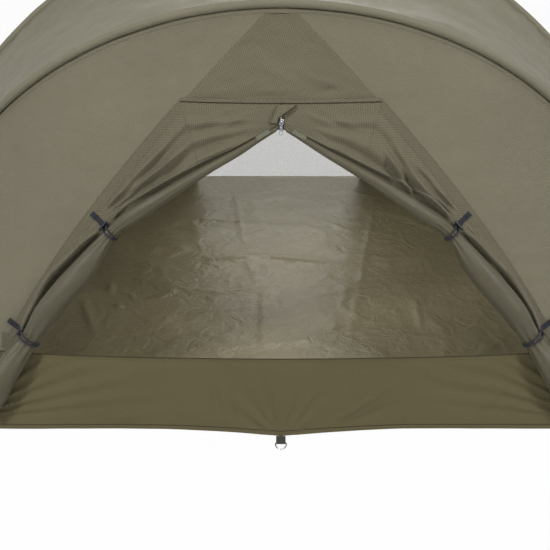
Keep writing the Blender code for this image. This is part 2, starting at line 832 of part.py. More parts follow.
def build_toggle(level, share, side_name, side, frame):
    """One toggle: sewn strap, bar on a stem, and the elastic loop that holds the roll."""
    s, middle, way, outer = door_pairs(DOOR_STEPS)[round(share * DOOR_STEPS)]
    here, normal, aim = door_station(middle, way, outer)
    r = roll_radius(s)
    origin = here + normal * (door_out(s) + CLOTH / 2)
    base = (origin, aim, normal.cross(aim), normal)
    label = f"{level}_toggle"
    stem_at = r + TOGGLE_OUT
    strap_low = LAYER_GAP
    strap_top = strap_low + STRAP_THICK

    shape = box(
        (stem_at - 0.006, -STRAP_WIDE / 2, strap_low),
        (stem_at - 0.006 + STRAP_LONG, STRAP_WIDE / 2, strap_top),
    )
    look = (NAVY, 0.8)
    add(f"{label}_strap_{side_name}", *from_local(base, shape, side), look, PIVOT, frame)

    cord_mid = strap_top + GAP + CORD_R
    bar_mid = cord_mid + CORD_R + GAP + BAR_R
    bar_sides = 10
    outline = []
    for k in range(bar_sides):
        turn = 2 * math.pi * (k + 0.5) / bar_sides
        outline.append((stem_at + BAR_R * math.cos(turn), bar_mid + BAR_R * math.sin(turn)))
    bar_shape = slab(outline, -BAR_HALF, BAR_HALF, 1)
    outline = []
    for k in range(8):
        turn = 2 * math.pi * (k + 0.5) / 8
        outline.append((stem_at + STEM_R * math.cos(turn), STEM_R * math.sin(turn)))
    stem_shape = slab(outline, strap_top + GAP, bar_mid, 2)
    spot = origin + aim * stem_at + normal * bar_mid
    spot = Vector((spot.x * side, spot.y, spot.z))
    bar = add(f"{label}_bar_{side_name}", *from_local(base, bar_shape, side), (NAVY, 0.35), spot, frame)
    stem = add("stem", *from_local(base, stem_shape, side), (NAVY, 0.35))
    combine(bar, [(stem, "UNION")])

    wrap = r + CORD_R + LOOP_PLAY
    hub = r - CLOTH
    low_turn = -math.asin(min(0.95, (hub - cord_mid) / wrap))
    arc = []
    for k in range(13):
        turn = math.radians(200) + (low_turn - math.radians(200)) * k / 12
        arc.append((wrap * math.cos(turn), hub + wrap * math.sin(turn)))
    route = [(a, STRAND_APART, n) for a, n in arc]
    for k in range(5):
        turn = math.pi / 2 - math.pi * k / 4
        route.append((stem_at + STRAND_APART * math.cos(turn), STRAND_APART * math.sin(turn), cord_mid))
    route += [(a, -STRAND_APART, n) for a, n in reversed(arc)]
    shape = tube(route, CORD_R, 6)
    add(f"{label}_loop_{side_name}", *from_local(base, shape, side), (NAVY, 0.7), PIVOT, frame)


def face_frame(x, z, out):
    """Local axes on the front face: right, up the face, and outward."""
    origin = front_point(x, z, out)
    normal = (front_point(x, z, out + 0.01) - origin).normalized()
    up = (Vector((0, 0, 1)) - normal * normal.z).normalized()
    return origin, up.cross(normal), up, normal


def build_zip(frame):
    """The closed top of the door zip, its slider and its pull."""
    base = face_frame(0, SLIDER_FOOT, 0)
    tape_high = DOOR_TOP - HEADER_LAP - GAP * 2 - SLIDER_FOOT
    shape = box((-TAPE_HALF, TAPE_FOOT - SLIDER_FOOT, -CLOTH / 2), (TAPE_HALF, tape_high, CLOTH / 2))
    chain_top = DOOR_OUT + CLOTH / 2 + CHAIN_HIGH
    tape = add("door_zip", *from_local(base, shape), (OLIVE_BAND, 0.7), PIVOT, frame)
    shape = box((-CHAIN_HALF, CHAIN_FOOT - SLIDER_FOOT, 0), (CHAIN_HALF, tape_high, chain_top))
    combine(tape, [(add("chain", *from_local(base, shape), (OLIVE_BAND, 0.7)), "UNION")])

    look = (STEEL, 0.3, 1.0)
    plate_low = chain_top + GAP
    plate_top = plate_low + SLIDER_PLATE
    wall_low = DOOR_OUT + CLOTH / 2 + GAP * 2
    channel = CHAIN_HALF + GAP
    shape = box((-SLIDER_HALF, 0, plate_low), (SLIDER_HALF, SLIDER_LONG, plate_top))
    slider = add("zip_slider", *from_local(base, shape), look, base[0], frame)
    tools = []
    for wall in (-1, 1):
        edges = sorted((wall * channel, wall * SLIDER_HALF))
        shape = box((edges[0], 0, wall_low), (edges[1], SLIDER_LONG, plate_low + SLIDER_PLATE / 2))
        tools.append((add("wall", *from_local(base, shape), look), "UNION"))
    bridge_low = SLIDER_LONG * 0.25
    bridge_high = SLIDER_LONG * 0.80
    shape = box(
        (-BRIDGE_HALF, bridge_low, plate_top - SLIDER_PLATE / 2),
        (BRIDGE_HALF, bridge_high, plate_top + BRIDGE_HOLE + BRIDGE_BAR),
    )
    tools.append((add("bridge", *from_local(base, shape), look), "UNION"))
    shape = box(
        (-0.01, bridge_low + BRIDGE_BAR, plate_top + GAP / 3),
        (0.01, bridge_high - BRIDGE_BAR, plate_top + BRIDGE_HOLE),
    )
    tools.append((add("bridge_hole", *from_local(base, shape), look), "DIFFERENCE"))
    combine(slider, tools)

    pin_z = plate_top + BRIDGE_HOLE / 2
    pin_up = bridge_low + BRIDGE_BAR + BRIDGE_HOLE / 2
    low = pin_z - PULL_THICK / 2
    high = pin_z + PULL_THICK / 2
    slot_half = BRIDGE_HALF + GAP * 2
    bar_top = pin_up + PULL_THICK / 2
    slot_top = pin_up - PULL_THICK / 2
    slot_foot = slot_top - (bridge_high - bridge_low)
    shape = box((-PULL_HALF, bar_top - PULL_LONG, low), (PULL_HALF, bar_top, high))
    pin = base[0] + base[2] * pin_up + base[3] * pin_z
    pull = add("zip_pull", *from_local(base, shape), look, pin, frame)
    shape = box((-slot_half, slot_foot, low - 0.01), (slot_half, slot_top, high + 0.01))
    slot = add("slot", *from_local(base, shape), look)
    foot = bar_top - PULL_LONG
    shape = box((-PULL_HALF * 0.5, foot + 0.002, low - 0.01), (PULL_HALF * 0.5, foot + 0.011, high + 0.01))
    window = add("window", *from_local(base, shape), look)
    combine(pull, [(slot, "DIFFERENCE"), (window, "DIFFERENCE")])
    print("slide axis", [round(v, 5) for v in base[2]], "pull pin", [round(v, 5) for v in pin])


def build_tab(frame):
    """The webbing tab at the middle of the hem, folded round the straight side of its ring."""
    hem_y = front_y(0, HEM_Z) - CLOTH / 2 - GAP
    eye_in = RING_WIRE + RING_PLAY
    eye_out = eye_in + TAB_THICK / 2
    lift = 0.0006
    eye_z = lift + eye_out
    eye_y = hem_y - TAB_LONG + eye_out
    outline = [(hem_y, lift), (hem_y, lift + TAB_THICK), (eye_y, lift + TAB_THICK), (eye_y, lift)]
    look = ((0.050, 0.058, 0.045), 0.85)
    shape = slab(outline, -TAB_WIDE / 2, TAB_WIDE / 2, 0)
    tab = add("hem_tab", *shape, look, PIVOT, frame)
    centre = (0, eye_y, eye_z)
    eye = add("eye", *disc(centre, eye_out, -TAB_WIDE / 2, TAB_WIDE / 2, 16), look)
    hole = add("eye_hole", *disc(centre, eye_in, -0.02, 0.02, 16), look)
    combine(tab, [(eye, "UNION"), (hole, "DIFFERENCE")])

    inner_half = RING_HALF - RING_WIRE
    drop = eye_z - RING_WIRE - lift
    path = [(-inner_half, 0.0), (inner_half, 0.0)]
    for k in range(9):
        turn = math.pi * k / 8
        long = RING_LONG - 2 * RING_WIRE - 0.004
        path.append((inner_half * math.cos(turn), 0.004 + long * math.sin(turn)))
    verts = []
    sides = 8
    n = len(path)
    for i, (x, forward) in enumerate(path):
        before = Vector(path[i - 1])
        after = Vector(path[(i + 1) % n])
        tangent = (after - before).normalized()
        normal = Vector((tangent.y, -tangent.x))
        z = eye_z - drop * forward / RING_LONG
        for k in range(sides):
            turn = 2 * math.pi * (k + 0.5) / sides
            side_step = normal * (RING_WIRE * math.cos(turn))
            y = eye_y - forward - side_step.y
            verts.append((x + side_step.x, y, z + RING_WIRE * math.sin(turn)))
    faces = []
    for i in range(n):
        for k in range(sides):
            a = i * sides + k
            b = i * sides + (k + 1) % sides
            c = ((i + 1) % n) * sides + (k + 1) % sides
            d = ((i + 1) % n) * sides + k
            faces.append((a, b, c, d))
    add("hem_ring", verts, faces, (STEEL, 0.35, 1.0), centre, frame)
    print("ring hinge", [round(v, 5) for v in centre])


def window_outline():
    """The rear window's right edge from the floor to its top, as (half width, height)."""
    points = [(WINDOW_FOOT_HALF, HEM_Z)]
    for k in range(1, 5):
        share = k / 4
        half = WINDOW_FOOT_HALF + (WINDOW_SHOULDER_HALF - WINDOW_FOOT_HALF) * share
        points.append((half, HEM_Z + (WINDOW_SHOULDER_Z - HEM_Z) * share))
    for k in range(1, 7):
        turn = math.pi / 2 * k / 6
        half = WINDOW_TOP_HALF + (WINDOW_SHOULDER_HALF - WINDOW_TOP_HALF) * math.cos(turn)
        points.append((half, WINDOW_SHOULDER_Z + (WINDOW_TOP_Z - WINDOW_SHOULDER_Z) * math.sin(turn)))
    return points


def build_rear():
    """The rear wall round its window, the mesh in the window, and the rolled storm flap with two ties."""
    right = along(window_outline(), WINDOW_STEPS)
    inner = [(-x, z) for x, z in right] + list(reversed(right))
    end = REAR.angle_across(REAR_END_X, REAR_EDGE)
    outer = [(-REAR_END_X, HEM_Z)]
    for k in range(33):
        spot = REAR.at(end * (k / 16 - 1), REAR_EDGE)
        outer.append((spot.x, spot.z))
    outer.append((REAR_END_X, HEM_Z))
    rows = []
    for a, b in zip(inner, along(outer, len(inner) - 1)):
        row = []
        for j in range(6):
            share = j / 5
            row.append(rear_point(a[0] + (b[0] - a[0]) * share, a[1] + (b[1] - a[1]) * share))
        rows.append(row)
    add("rear_wall", *shell(rows, CLOTH), (OLIVE, 0.85))

    clear = GAP * 2
    rows = []
    for half, z in right:
        low = (z - HEM_Z) * (1 - clear / WINDOW_SHOULDER_Z) + HEM_Z
        rows.append([rear_point((half - clear) * (j / 4 - 1), low) for j in range(9)])
    add("rear_window_mesh", *shell(rows, CLOTH), (MESH_GREY, 0.9))

    tie_bore = FLAP_R + LAYER_GAP
    stand_off = CLOTH / 2 + TIE_THICK + tie_bore + GAP
    upright = (0, 0, 1)
    route = [rear_point(FLAP_HALF * (k / 6 - 1), FLAP_Z, stand_off) for k in range(13)]
    add("rear_window_flap", *tube(route, FLAP_R, 12, across=upright), (OLIVE, 0.85))
    for side_name, side in SIDES.items():
        route = [rear_point(side * TIE_X + TIE_HALF * k, FLAP_Z, stand_off) for k in (-1, 0, 1)]
        shape = tube(route, tie_bore + TIE_THICK, 12, bore=tie_bore, across=upright)
        add(f"rear_flap_tie_{side_name}", *shape, (OLIVE_BAND, 0.85))


def empty(name, parent=None):
    """A folding frame's own empty, on the pivot axis."""
    made = bpy.data.objects.new(name, None)
    bpy.context.scene.collection.objects.link(made)
    made.location = PIVOT
    made.empty_display_size = 0.1
    return made


def main():
    for old in list(bpy.data.objects):
        bpy.data.objects.remove(old)
    rear_frame = empty("rear_frame_axis")
    mid_frame = empty("middle_frame_axis")
    front_frame = empty("front_frame_axis")
    build_hoop("rear", REAR, rear_frame)
    build_hoop("middle", MID, mid_frame)
    build_hoop("front", FRONT, front_frame)
    build_canopy("canopy_rear", MID, REAR, rear_frame)
    build_canopy("canopy_front", FRONT, MID, mid_frame)
    build_blocks()
    build_floor()
    build_rear()
    build_front_face(front_frame)
    for side_name, side in SIDES.items():
        build_door(side_name, side, front_frame)
        build_toggle("upper", UPPER_TOGGLE, side_name, side, front_frame)
        build_toggle("lower", LOWER_TOGGLE, side_name, side, front_frame)
    build_zip(front_frame)
    build_tab(front_frame)


main()
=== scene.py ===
"""Looks of the hooped fishing brolly shelter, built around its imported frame.

X runs to the right, +Y away from the person who looks at the door, +Z up, in metres. The sizes and the
functions of the first part repeat those of the part's own source, in numpy.
"""

import math

import bmesh
import bpy
import numpy as np
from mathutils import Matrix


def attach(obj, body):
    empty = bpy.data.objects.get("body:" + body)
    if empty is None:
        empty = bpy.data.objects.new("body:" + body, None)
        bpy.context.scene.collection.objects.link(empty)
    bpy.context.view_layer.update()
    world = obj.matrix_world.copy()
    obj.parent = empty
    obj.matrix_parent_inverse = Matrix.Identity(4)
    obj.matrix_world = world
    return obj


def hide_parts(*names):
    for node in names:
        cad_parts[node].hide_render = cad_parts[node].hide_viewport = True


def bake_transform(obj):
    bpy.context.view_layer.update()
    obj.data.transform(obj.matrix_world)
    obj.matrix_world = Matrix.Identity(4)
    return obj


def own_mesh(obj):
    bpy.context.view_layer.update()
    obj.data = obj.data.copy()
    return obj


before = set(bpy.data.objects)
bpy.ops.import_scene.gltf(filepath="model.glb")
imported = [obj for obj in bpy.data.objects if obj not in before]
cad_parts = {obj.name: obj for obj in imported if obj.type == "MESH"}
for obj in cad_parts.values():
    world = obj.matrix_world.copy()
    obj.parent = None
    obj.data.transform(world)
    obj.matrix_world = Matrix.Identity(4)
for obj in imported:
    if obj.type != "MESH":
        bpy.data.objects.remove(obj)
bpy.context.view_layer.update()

# Sizes of the part's own source, in metres

GAP = 0.0003
CLOTH = 0.0010
LAYER_GAP = 0.0007
HEM_Z = 0.0022
PIVOT_BACK = 0.600
PIVOT_HEIGHT = 0.055
FRONT_HALF_SPAN = 1.140
SPAN_STEP = 0.025
FERRULE_HALF = 0.050
SLEEVE_R = 0.0105
SLEEVE_FOOT = 0.112
PANEL_FOOT = 0.130
CANOPY_SAG = 0.014
ARC_STEPS = 13
FRONT_CORNER_X = 0.860
FRONT_ROUND = 0.080
REAR_BACK = 1.980
REAR_CORNER_X = 0.660
REAR_ROUND = 0.160
TAB_PULL = 0.034
TAB_PULL_HALF = 0.340
TAB_PULL_TOP = 0.250
BAND_TOP = 0.192
APEX_HALF = 0.030
DOOR_BOW_X = 0.700
DOOR_BOW_Z = 0.440
DOOR_TOP = 0.860
HEADER_LAP = 0.010
DOOR_LAP = 0.012
DOOR_FOOT_Z = 0.206
DOOR_OUT = CLOTH + LAYER_GAP

# The right door half's roll: spots on the face from the zip's top down to the hem, and its radii

ROLL_PATH = [
    (0.017, 0.784), (0.180, 0.700), (0.305, 0.622), (0.441, 0.532), (0.524, 0.428),
    (0.598, 0.343), (0.668, 0.258), (0.745, 0.150), (0.806, 0.052),
]
ROLL_TIP = (0.0072, 0.7925)
ROLL_TOP_R = 0.006
ROLL_LOW_R = 0.037

# Where the toggles draw the rolls in, as shares of their length

TOGGLES = {"upper": 14 / 30, "lower": 24 / 30}
PINCH = 0.011
PINCH_LONG = 0.055
FOOT_LIFT = 0.0008
SIDES = {"left": -1, "right": 1}


def points(x, y, z):
    """One array of points from three arrays."""
    return np.stack(np.broadcast_arrays(x, y, z), axis=-1).astype(float)


def unit(v):
    """Vectors of length 1 along v."""
    return v / np.maximum(np.linalg.norm(v, axis=-1, keepdims=True), 1e-12)


PIVOT = np.array((0, PIVOT_BACK, PIVOT_HEIGHT))


class Hoop:
    """An arc of a circle in a plane through the pivots, leaning back by lean_deg."""

    def __init__(self, half_span, rise, lean_deg):
        self.half_span = half_span
        lean = math.radians(lean_deg)
        self.lean_deg = lean_deg
        self.radius = (half_span**2 + rise**2) / (2 * rise)
        self.centre = rise - self.radius
        self.up = np.array((0, math.sin(lean), math.cos(lean)))
        self.out = np.array((0, math.cos(lean), -math.sin(lean)))

    def at(self, angle, inset=0.0):
        """The points at angle from the hoop's top, on an arc drawn inset inside the hoop's own."""
        r = self.radius - inset
        angle = np.asarray(angle, float)
        height = self.centre + r * np.cos(angle)
        return PIVOT + points(r * np.sin(angle), 0, 0) + height[..., None] * self.up

    def angle_at(self, height):
        """The angle from the top at which the arc is this high above the pivots."""
        return math.acos((height - self.centre) / self.radius)

    def angle_across(self, x, inset=0.0):
        """The angle from the top at which the arc is x from the middle."""
        return np.arcsin(np.asarray(x, float) / (self.radius - inset))

    def bow(self):
        """How far the CAD's straight stretches lie inside the arc."""
        first = FERRULE_HALF / self.radius
        step = (self.angle_at(PANEL_FOOT) - first) / ARC_STEPS
        return self.radius * (1 - math.cos(step / 2))


FRONT = Hoop(FRONT_HALF_SPAN, 1.085, -15.5)
REAR = Hoop(FRONT_HALF_SPAN + SPAN_STEP, 1.150, 50.0)
MID = Hoop(FRONT_HALF_SPAN + 2 * SPAN_STEP, 1.220, 14.0)
HOOPS = {"front": FRONT, "middle": MID, "rear": REAR}
SIDE_END_X = FRONT.half_span - 0.030
REAR_END_X = REAR.half_span - 0.035
EDGE = SLEEVE_R + GAP
FACE_EDGE = EDGE + FRONT.bow()
REAR_EDGE = EDGE + REAR.bow()


def rounded(u, reach):
    """max(u, 0) with its corner rounded over reach on each side."""
    bend = (u + reach) ** 2 / (4 * reach)
    return np.where(u < -reach, 0.0, np.where(u > reach, u, bend))


def front_hem(x):
    slope = PIVOT_BACK / (FRONT_HALF_SPAN - FRONT_CORNER_X)
    return slope * rounded(np.abs(x) - FRONT_CORNER_X, FRONT_ROUND)


def rear_hem(x):
    slope = (REAR_BACK - PIVOT_BACK) / (REAR.half_span - REAR_CORNER_X)
    return REAR_BACK - slope * rounded(np.abs(x) - REAR_CORNER_X, REAR_ROUND)


def tab_pull(x, z):
    near = np.maximum(0.0, 1 - np.abs(x) / TAB_PULL_HALF) ** 1.4
    low = np.maximum(0.0, 1 - z / TAB_PULL_TOP) ** 2
    return TAB_PULL * near * low


def front_y(x, z):
    top = FRONT.at(FRONT.angle_across(x, FACE_EDGE), FACE_EDGE)
    share = z / top[..., 2]
    return front_hem(x) * (1 - share) + top[..., 1] * share - tab_pull(x, z)


def rear_y(x, z):
    top = REAR.at(REAR.angle_across(x, REAR_EDGE), REAR_EDGE)
    share = z / top[..., 2]
    return rear_hem(x) * (1 - share) + top[..., 1] * share


def face_normal(depth, x, z, outward):
    """The outward normals of the face y = depth(x, z)."""
    step = 0.0005
    slope_x = (depth(x + step, z) - depth(x - step, z)) / (2 * step)
    slope_z = (depth(x, z + step) - depth(x, z - step)) / (2 * step)
    return unit(points(-slope_x, 1, -slope_z)) * outward


def front_normal(x, z):
    return face_normal(front_y, np.asarray(x, float), np.asarray(z, float), -1)


def front_point(x, z, out=0.0):
    x = np.asarray(x, float)
    z = np.asarray(z, float)
    return points(x, front_y(x, z), z) + front_normal(x, z) * np.asarray(out)[..., None]


def rear_point(x, z, out=0.0):
    x = np.asarray(x, float)
    z = np.asarray(z, float)
    return points(x, rear_y(x, z), z) + face_normal(rear_y, x, z, 1) * np.asarray(out)[..., None]


def door_edge(t):
    """The door section's outer seam, from the top of the front hoop (t 0) to the hem's corner (t 1)."""
    t = np.asarray(t, float)
    top_z = FRONT.at(FRONT.angle_across(APEX_HALF, FACE_EDGE), FACE_EDGE)[..., 2]
    a = (1 - t) ** 2
    b = 2 * t * (1 - t)
    c = t**2
    return a * APEX_HALF + b * DOOR_BOW_X + c * FRONT_CORNER_X, a * top_z + b * DOOR_BOW_Z


def door_edge_at(z):
    """The place t on the door section's seam at height z."""
    low, high = 0.0, 1.0
    for _ in range(50):
        t = (low + high) / 2
        if door_edge(t)[1] > z:
            low = t
        else:
            high = t
    return (low + high) / 2


DOOR_CORNER_X = float(door_edge(door_edge_at(DOOR_TOP))[0])


def curve_through(spots, per_span=12):
    """A smooth curve through spots, as a dense polyline."""
    spots = np.array(spots, float)
    padded = np.vstack([spots[:1], spots, spots[-1:]])
    dense = []
    for i in range(len(spots) - 1):
        for k in range(per_span):
            t = k / per_span
            before, start = -t + 2 * t**2 - t**3, 2 - 5 * t**2 + 3 * t**3
            end, after = t + 4 * t**2 - 3 * t**3, t**3 - t**2
            dense.append(np.array((before, start, end, after)) / 2 @ padded[i : i + 4])
    return np.array(dense + [spots[-1]])


def lengths_along(line):
    """The length of a polyline up to each of its points."""
    return np.concatenate([[0], np.cumsum(np.linalg.norm(np.diff(line, axis=0), axis=1))])


def at_share(line, share):
    """The points at each share of the length of a polyline."""
    line = np.asarray(line, float)
    lengths = lengths_along(line)
    want = np.asarray(share) * lengths[-1]
    return np.stack([np.interp(want, lengths, line[:, k]) for k in range(line.shape[1])], axis=-1)


def noise2(x, y, seed):
    """Smooth noise from -1 to 1, with one cell a unit."""
    x, y = np.broadcast_arrays(np.asarray(x, float), np.asarray(y, float))
    table = np.random.RandomState(seed).uniform(-1, 1, (64, 64))
    i = np.floor(x).astype(int)
    j = np.floor(y).astype(int)
    u, v = (w * w * w * (w * (w * 6 - 15) + 10) for w in (x - i, y - j))
    here = table[i % 64, j % 64] * (1 - u) + table[(i + 1) % 64, j % 64] * u
    above = table[i % 64, (j + 1) % 64] * (1 - u) + table[(i + 1) % 64, (j + 1) % 64] * u
    return here * (1 - v) + above * v


def layered(x, y, seed, octaves=3):
    """Noise with finer and weaker noise on it."""
    total = 0.0
    for k in range(octaves):
        total = total + noise2(x * 2**k + 7 * k, y * 2**k, seed + k) / 2**k
    return total


def step(low, high, t):
    """0 below low, 1 above high, smooth between."""
    u = np.clip((t - low) / (high - low), 0, 1)
    return u * u * (3 - 2 * u)


# Meshes


def finish_mesh(name, verts, faces, looks, uv=None, face_looks=None, sharp=50):
    """One smooth-shaded mesh object, with UVs in metres where given."""
    mesh = bpy.data.meshes.new(name)
    mesh.from_pydata(np.asarray(verts, float).tolist(), [], faces)
    for look in looks:
        mesh.materials.append(look)
    mesh.polygons.foreach_set("use_smooth", [True] * len(mesh.polygons))
    if face_looks is not None:
        mesh.polygons.foreach_set("material_index", face_looks)
    if uv is not None:
        corner = np.zeros(len(mesh.loops), int)
        mesh.loops.foreach_get("vertex_index", corner)
        layer = mesh.uv_layers.new(name="UVMap")
        layer.data.foreach_set("uv", np.asarray(uv, float)[corner].ravel())
    mesh.update()
    shaped = bmesh.new()
    shaped.from_mesh(mesh)
    bmesh.ops.recalc_face_normals(shaped, faces=shaped.faces)
    shaped.to_mesh(mesh)
    shaped.free()
    mesh.set_sharp_from_angle(angle=math.radians(sharp))
    made = bpy.data.objects.new(name, mesh)
    bpy.context.scene.collection.objects.link(made)
    return made


def arc_uv(grid):
    """UVs in metres from the lengths along both ways of a grid."""
    across = np.linalg.norm(np.diff(grid, axis=1), axis=2)
    down = np.linalg.norm(np.diff(grid, axis=0), axis=2)
    u = np.concatenate([np.zeros((len(grid), 1)), np.cumsum(across, axis=1)], axis=1)
    v = np.concatenate([np.zeros((1, grid.shape[1])), np.cumsum(down, axis=0)], axis=0)
    u = u - u[:, [u.shape[1] // 2]]
    v = np.repeat(v[:, [v.shape[1] // 2]], v.shape[1], axis=1)
    return np.stack([u, v], axis=-1)


def bell(u):
    """1 at u 0, dying out softly on both sides."""
    return np.exp(-(u**2))


def hump(turn):
    """0 after each whole turn, 1 half a turn further."""
    return 0.5 - 0.5 * np.cos(turn)


def creases(x, y, table):
    """Soft ridges, each given as start, end, height and width, that die out at both ends."""
    total = 0.0
    for (ax, ay), (bx, by), high, wide in table:
        dx, dy = bx - ax, by - ay
        share = np.clip(((x - ax) * dx + (y - ay) * dy) / (dx * dx + dy * dy), 0, 1)
        away = np.hypot(x - ax - dx * share, y - ay - dy * share)
        total = total + high * bell(away / wide) * np.sin(np.pi * np.clip(share, 0.02, 0.98)) ** 0.6
    return total


def rays(dx, dz, count, long, seed, wander=1.0, fine=(6, 1)):
    """Folds running out from a point, count to a turn and long in reach, with the distance and the turn."""
    far = np.hypot(dx, dz)
    turn = np.arctan2(dz, dx)
    bent = count * turn + wander * noise2(far * fine[0], turn * fine[1], seed)
    return np.cos(bent) * np.exp(-far / long), far, turn


def grid_faces(n, m, wrap=False):
    """Index quads of an n by m grid, as an array."""
    i, j = np.meshgrid(np.arange(n - 1), np.arange(m if wrap else m - 1), indexing="ij")
    right = (j + 1) % m
    corners = [i * m + j, i * m + right, (i + 1) * m + right, (i + 1) * m + j]
    return np.stack(corners, axis=-1).reshape(-1, 4)


def tube_faces(n, sides, turned=False):
    """Faces of n rings of points, closed at both ends. The last end is listed backwards where turned."""
    last = range((n - 1) * sides, n * sides)
    ends = [tuple(range(sides)), tuple(reversed(last) if turned else last)]
    return grid_faces(n, sides, wrap=True).tolist() + ends


def cloth(name, grid, thick, looks, uv=None, wrap=False):
    """A closed cloth around the middle surface grid, with looks[0] where rows x columns points."""
    n, m = grid.shape[:2]
    down = np.gradient(grid, axis=0)
    if wrap:
        across = (np.roll(grid, -1, axis=1) - np.roll(grid, 1, axis=1)) / 2
    else:
        across = np.gradient(grid, axis=1)
    half = unit(np.cross(down, across)) * thick / 2
    if uv is None:
        uv = arc_uv(grid)
    verts = np.concatenate([(grid + half).reshape(-1, 3), (grid - half).reshape(-1, 3)])
    back = n * m
    front_faces = grid_faces(n, m, wrap).tolist()
    back_faces = [[k + back for k in reversed(face)] for face in front_faces]
    rows = [(row * m + j, row * m + (j + 1) % m) for row in (0, n - 1) for j in range(m if wrap else m - 1)]
    columns = [] if wrap else [(i * m + j, i * m + j + m) for j in (0, m - 1) for i in range(n - 1)]
    rims = [(a, b, b + back, a + back) for a, b in rows + columns]
    marks = [0] * len(front_faces) + [len(looks) - 1] * len(back_faces) + [0] * len(rims)
    uvs = np.concatenate([uv.reshape(-1, 2)] * 2)
    return finish_mesh(name, verts, front_faces + back_faces + rims, looks, uvs, marks)


def turns_of(sides):
    """The turns of evenly spread points on a circle."""
    return 2 * np.pi * np.arange(sides) / sides


def ringed(centres, a, b, reach, turn):
    """Points around each centre, reach away from it, at turn from the way a towards b."""
    part_a = a[:, None] * (reach * np.cos(turn))[..., None]
    return centres[:, None] + part_a + b[:, None] * (reach * np.sin(turn))[..., None]


def tube_rings(path, radius, sides, aside=None):
    """Rings of points around a path. radius is one value or an array (path points, sides or 1)."""
    path = np.asarray(path, float)
    tangent = unit(np.gradient(path, axis=0))
    if aside is None:
        first = tangent[0]
        aside = np.cross(first, (0.0, 0.0, 1.0) if abs(first[2]) < 0.8 else (1.0, 0.0, 0.0))
    asides = []
    for way in tangent:
        aside = unit(aside - way * (aside @ way))
        asides.append(aside)
    asides = np.array(asides)
    radius = np.broadcast_to(np.asarray(radius, float), (len(path), sides))
    return ringed(path, asides, np.cross(tangent, asides), radius, turns_of(sides))


def rod(name, path, radius, sides, look):
    """A solid round piece along a path."""
    rings = tube_rings(path, radius, sides)
    width = 2 * np.pi * radius
    spots = np.meshgrid(np.linspace(0, width, sides, endpoint=False), lengths_along(path))
    uv = np.stack(spots, axis=-1).reshape(-1, 2)
    return finish_mesh(name, rings.reshape(-1, 3), tube_faces(len(rings), sides, turned=True), [look], uv)


def merged(name, parts, looks, sharp=50):
    """One object from several parts: points, faces and look index, and UVs where they have them."""
    verts, faces, marks, uvs = [], [], [], []
    count = 0
    for v, f, mark, *uv in parts:
        v = np.asarray(v, float).reshape(-1, 3)
        verts.append(v)
        uvs.append(np.asarray(uv[0], float).reshape(-1, 2) if uv else v[:, :2])
        faces += [tuple(k + count for k in face) for face in f]
        marks += [mark] * len(f)
        count += len(v)
    return finish_mesh(name, np.concatenate(verts), faces, looks, np.concatenate(uvs), marks, sharp)


def stitch_parts(line, normals, long=0.0034, pitch=0.0052, mark=1):
    """A row of small thread humps along a line on a surface."""
    high, deep, wide = 0.0007, 0.00021, 0.0009
    line = np.asarray(line, float)
    lengths = lengths_along(line)
    count = max(1, int(lengths[-1] / pitch))
    middles = (np.arange(count) + 0.5) * lengths[-1] / count

    def spot(want, source):
        return np.stack([np.interp(want, lengths, source[:, k]) for k in range(3)], axis=-1)

    here = spot(middles, line)
    way = unit(spot(middles + 0.001, line) - spot(middles - 0.001, line))
    normal = unit(spot(middles, np.broadcast_to(normals, line.shape)))
    side = np.cross(way, normal) * wide / 2
    ends = [here - way * long / 2, here + way * long / 2]
    verts = np.stack(ends + [here + side, here + normal * high, here - side, here - normal * deep], axis=1)
    faces = []
    for first in range(0, 6 * count, 6):
        for a, b in ((2, 3), (3, 4), (4, 5), (5, 2)):
            faces.append((first, first + a, first + b))
            faces.append((first + 1, first + b, first + a))
    return verts.reshape(-1, 3), faces, mark


RIBBON_PROFILE = (
    (-0.5, 0.1), (-0.46, 0.8), (-0.25, 1.0), (0.0, 1.0), (0.25, 1.0), (0.46, 0.8), (0.5, 0.1),
    (0.5, -0.05), (-0.5, -0.05),
)


def ribbon_parts(line, normals, width, high, mark=0, waves=0.0, seed=1):
    """A flat strip along a line on a surface, with softly rounded edges and an uneven top."""
    line = np.asarray(line, float)
    normals = unit(np.broadcast_to(normals, line.shape))
    side = unit(np.cross(unit(np.gradient(line, axis=0)), normals))
    lengths = lengths_along(line)
    rings, uv = [], []
    for share, up in RIBBON_PROFILE:
        uneven = waves * noise2(lengths * 30, share * 3, seed) if up > 0 else 0 * lengths
        rings.append(line + side * width * share + normals * (high * up * (1 + uneven))[:, None])
        uv.append(np.stack([np.full(len(line), width * share), lengths], axis=-1))
    faces = tube_faces(len(line), len(rings), turned=True)
    return np.stack(rings, axis=1).reshape(-1, 3), faces, mark, np.stack(uv, axis=1).reshape(-1, 2)


def seam(name, line, normals, width, high, looks, rows, waves=0.15):
    """A sewn seam: a strip with rows of stitches on it, at shares of its width."""
    line = np.asarray(line, float)
    normals = unit(np.broadcast_to(normals, line.shape))
    side = unit(np.cross(unit(np.gradient(line, axis=0)), normals))
    parts = [ribbon_parts(line, normals, width, high, waves=waves)]
    for share in rows:
        parts.append(stitch_parts(line + side * width * share + normals * high, normals))
    return merged(name, parts, looks)


# Materials


def add_node(tree, kind, inputs=(), **settings):
    """One node of a tree. Its inputs are constants, or sockets to link from."""
    made = tree.nodes.new(kind)
    for key, value in settings.items():
        setattr(made, key, value)
    for key, value in dict(inputs).items():
        if isinstance(value, bpy.types.NodeSocket):
            tree.links.new(value, made.inputs[key])
        else:
            made.inputs[key].default_value = value
    return made


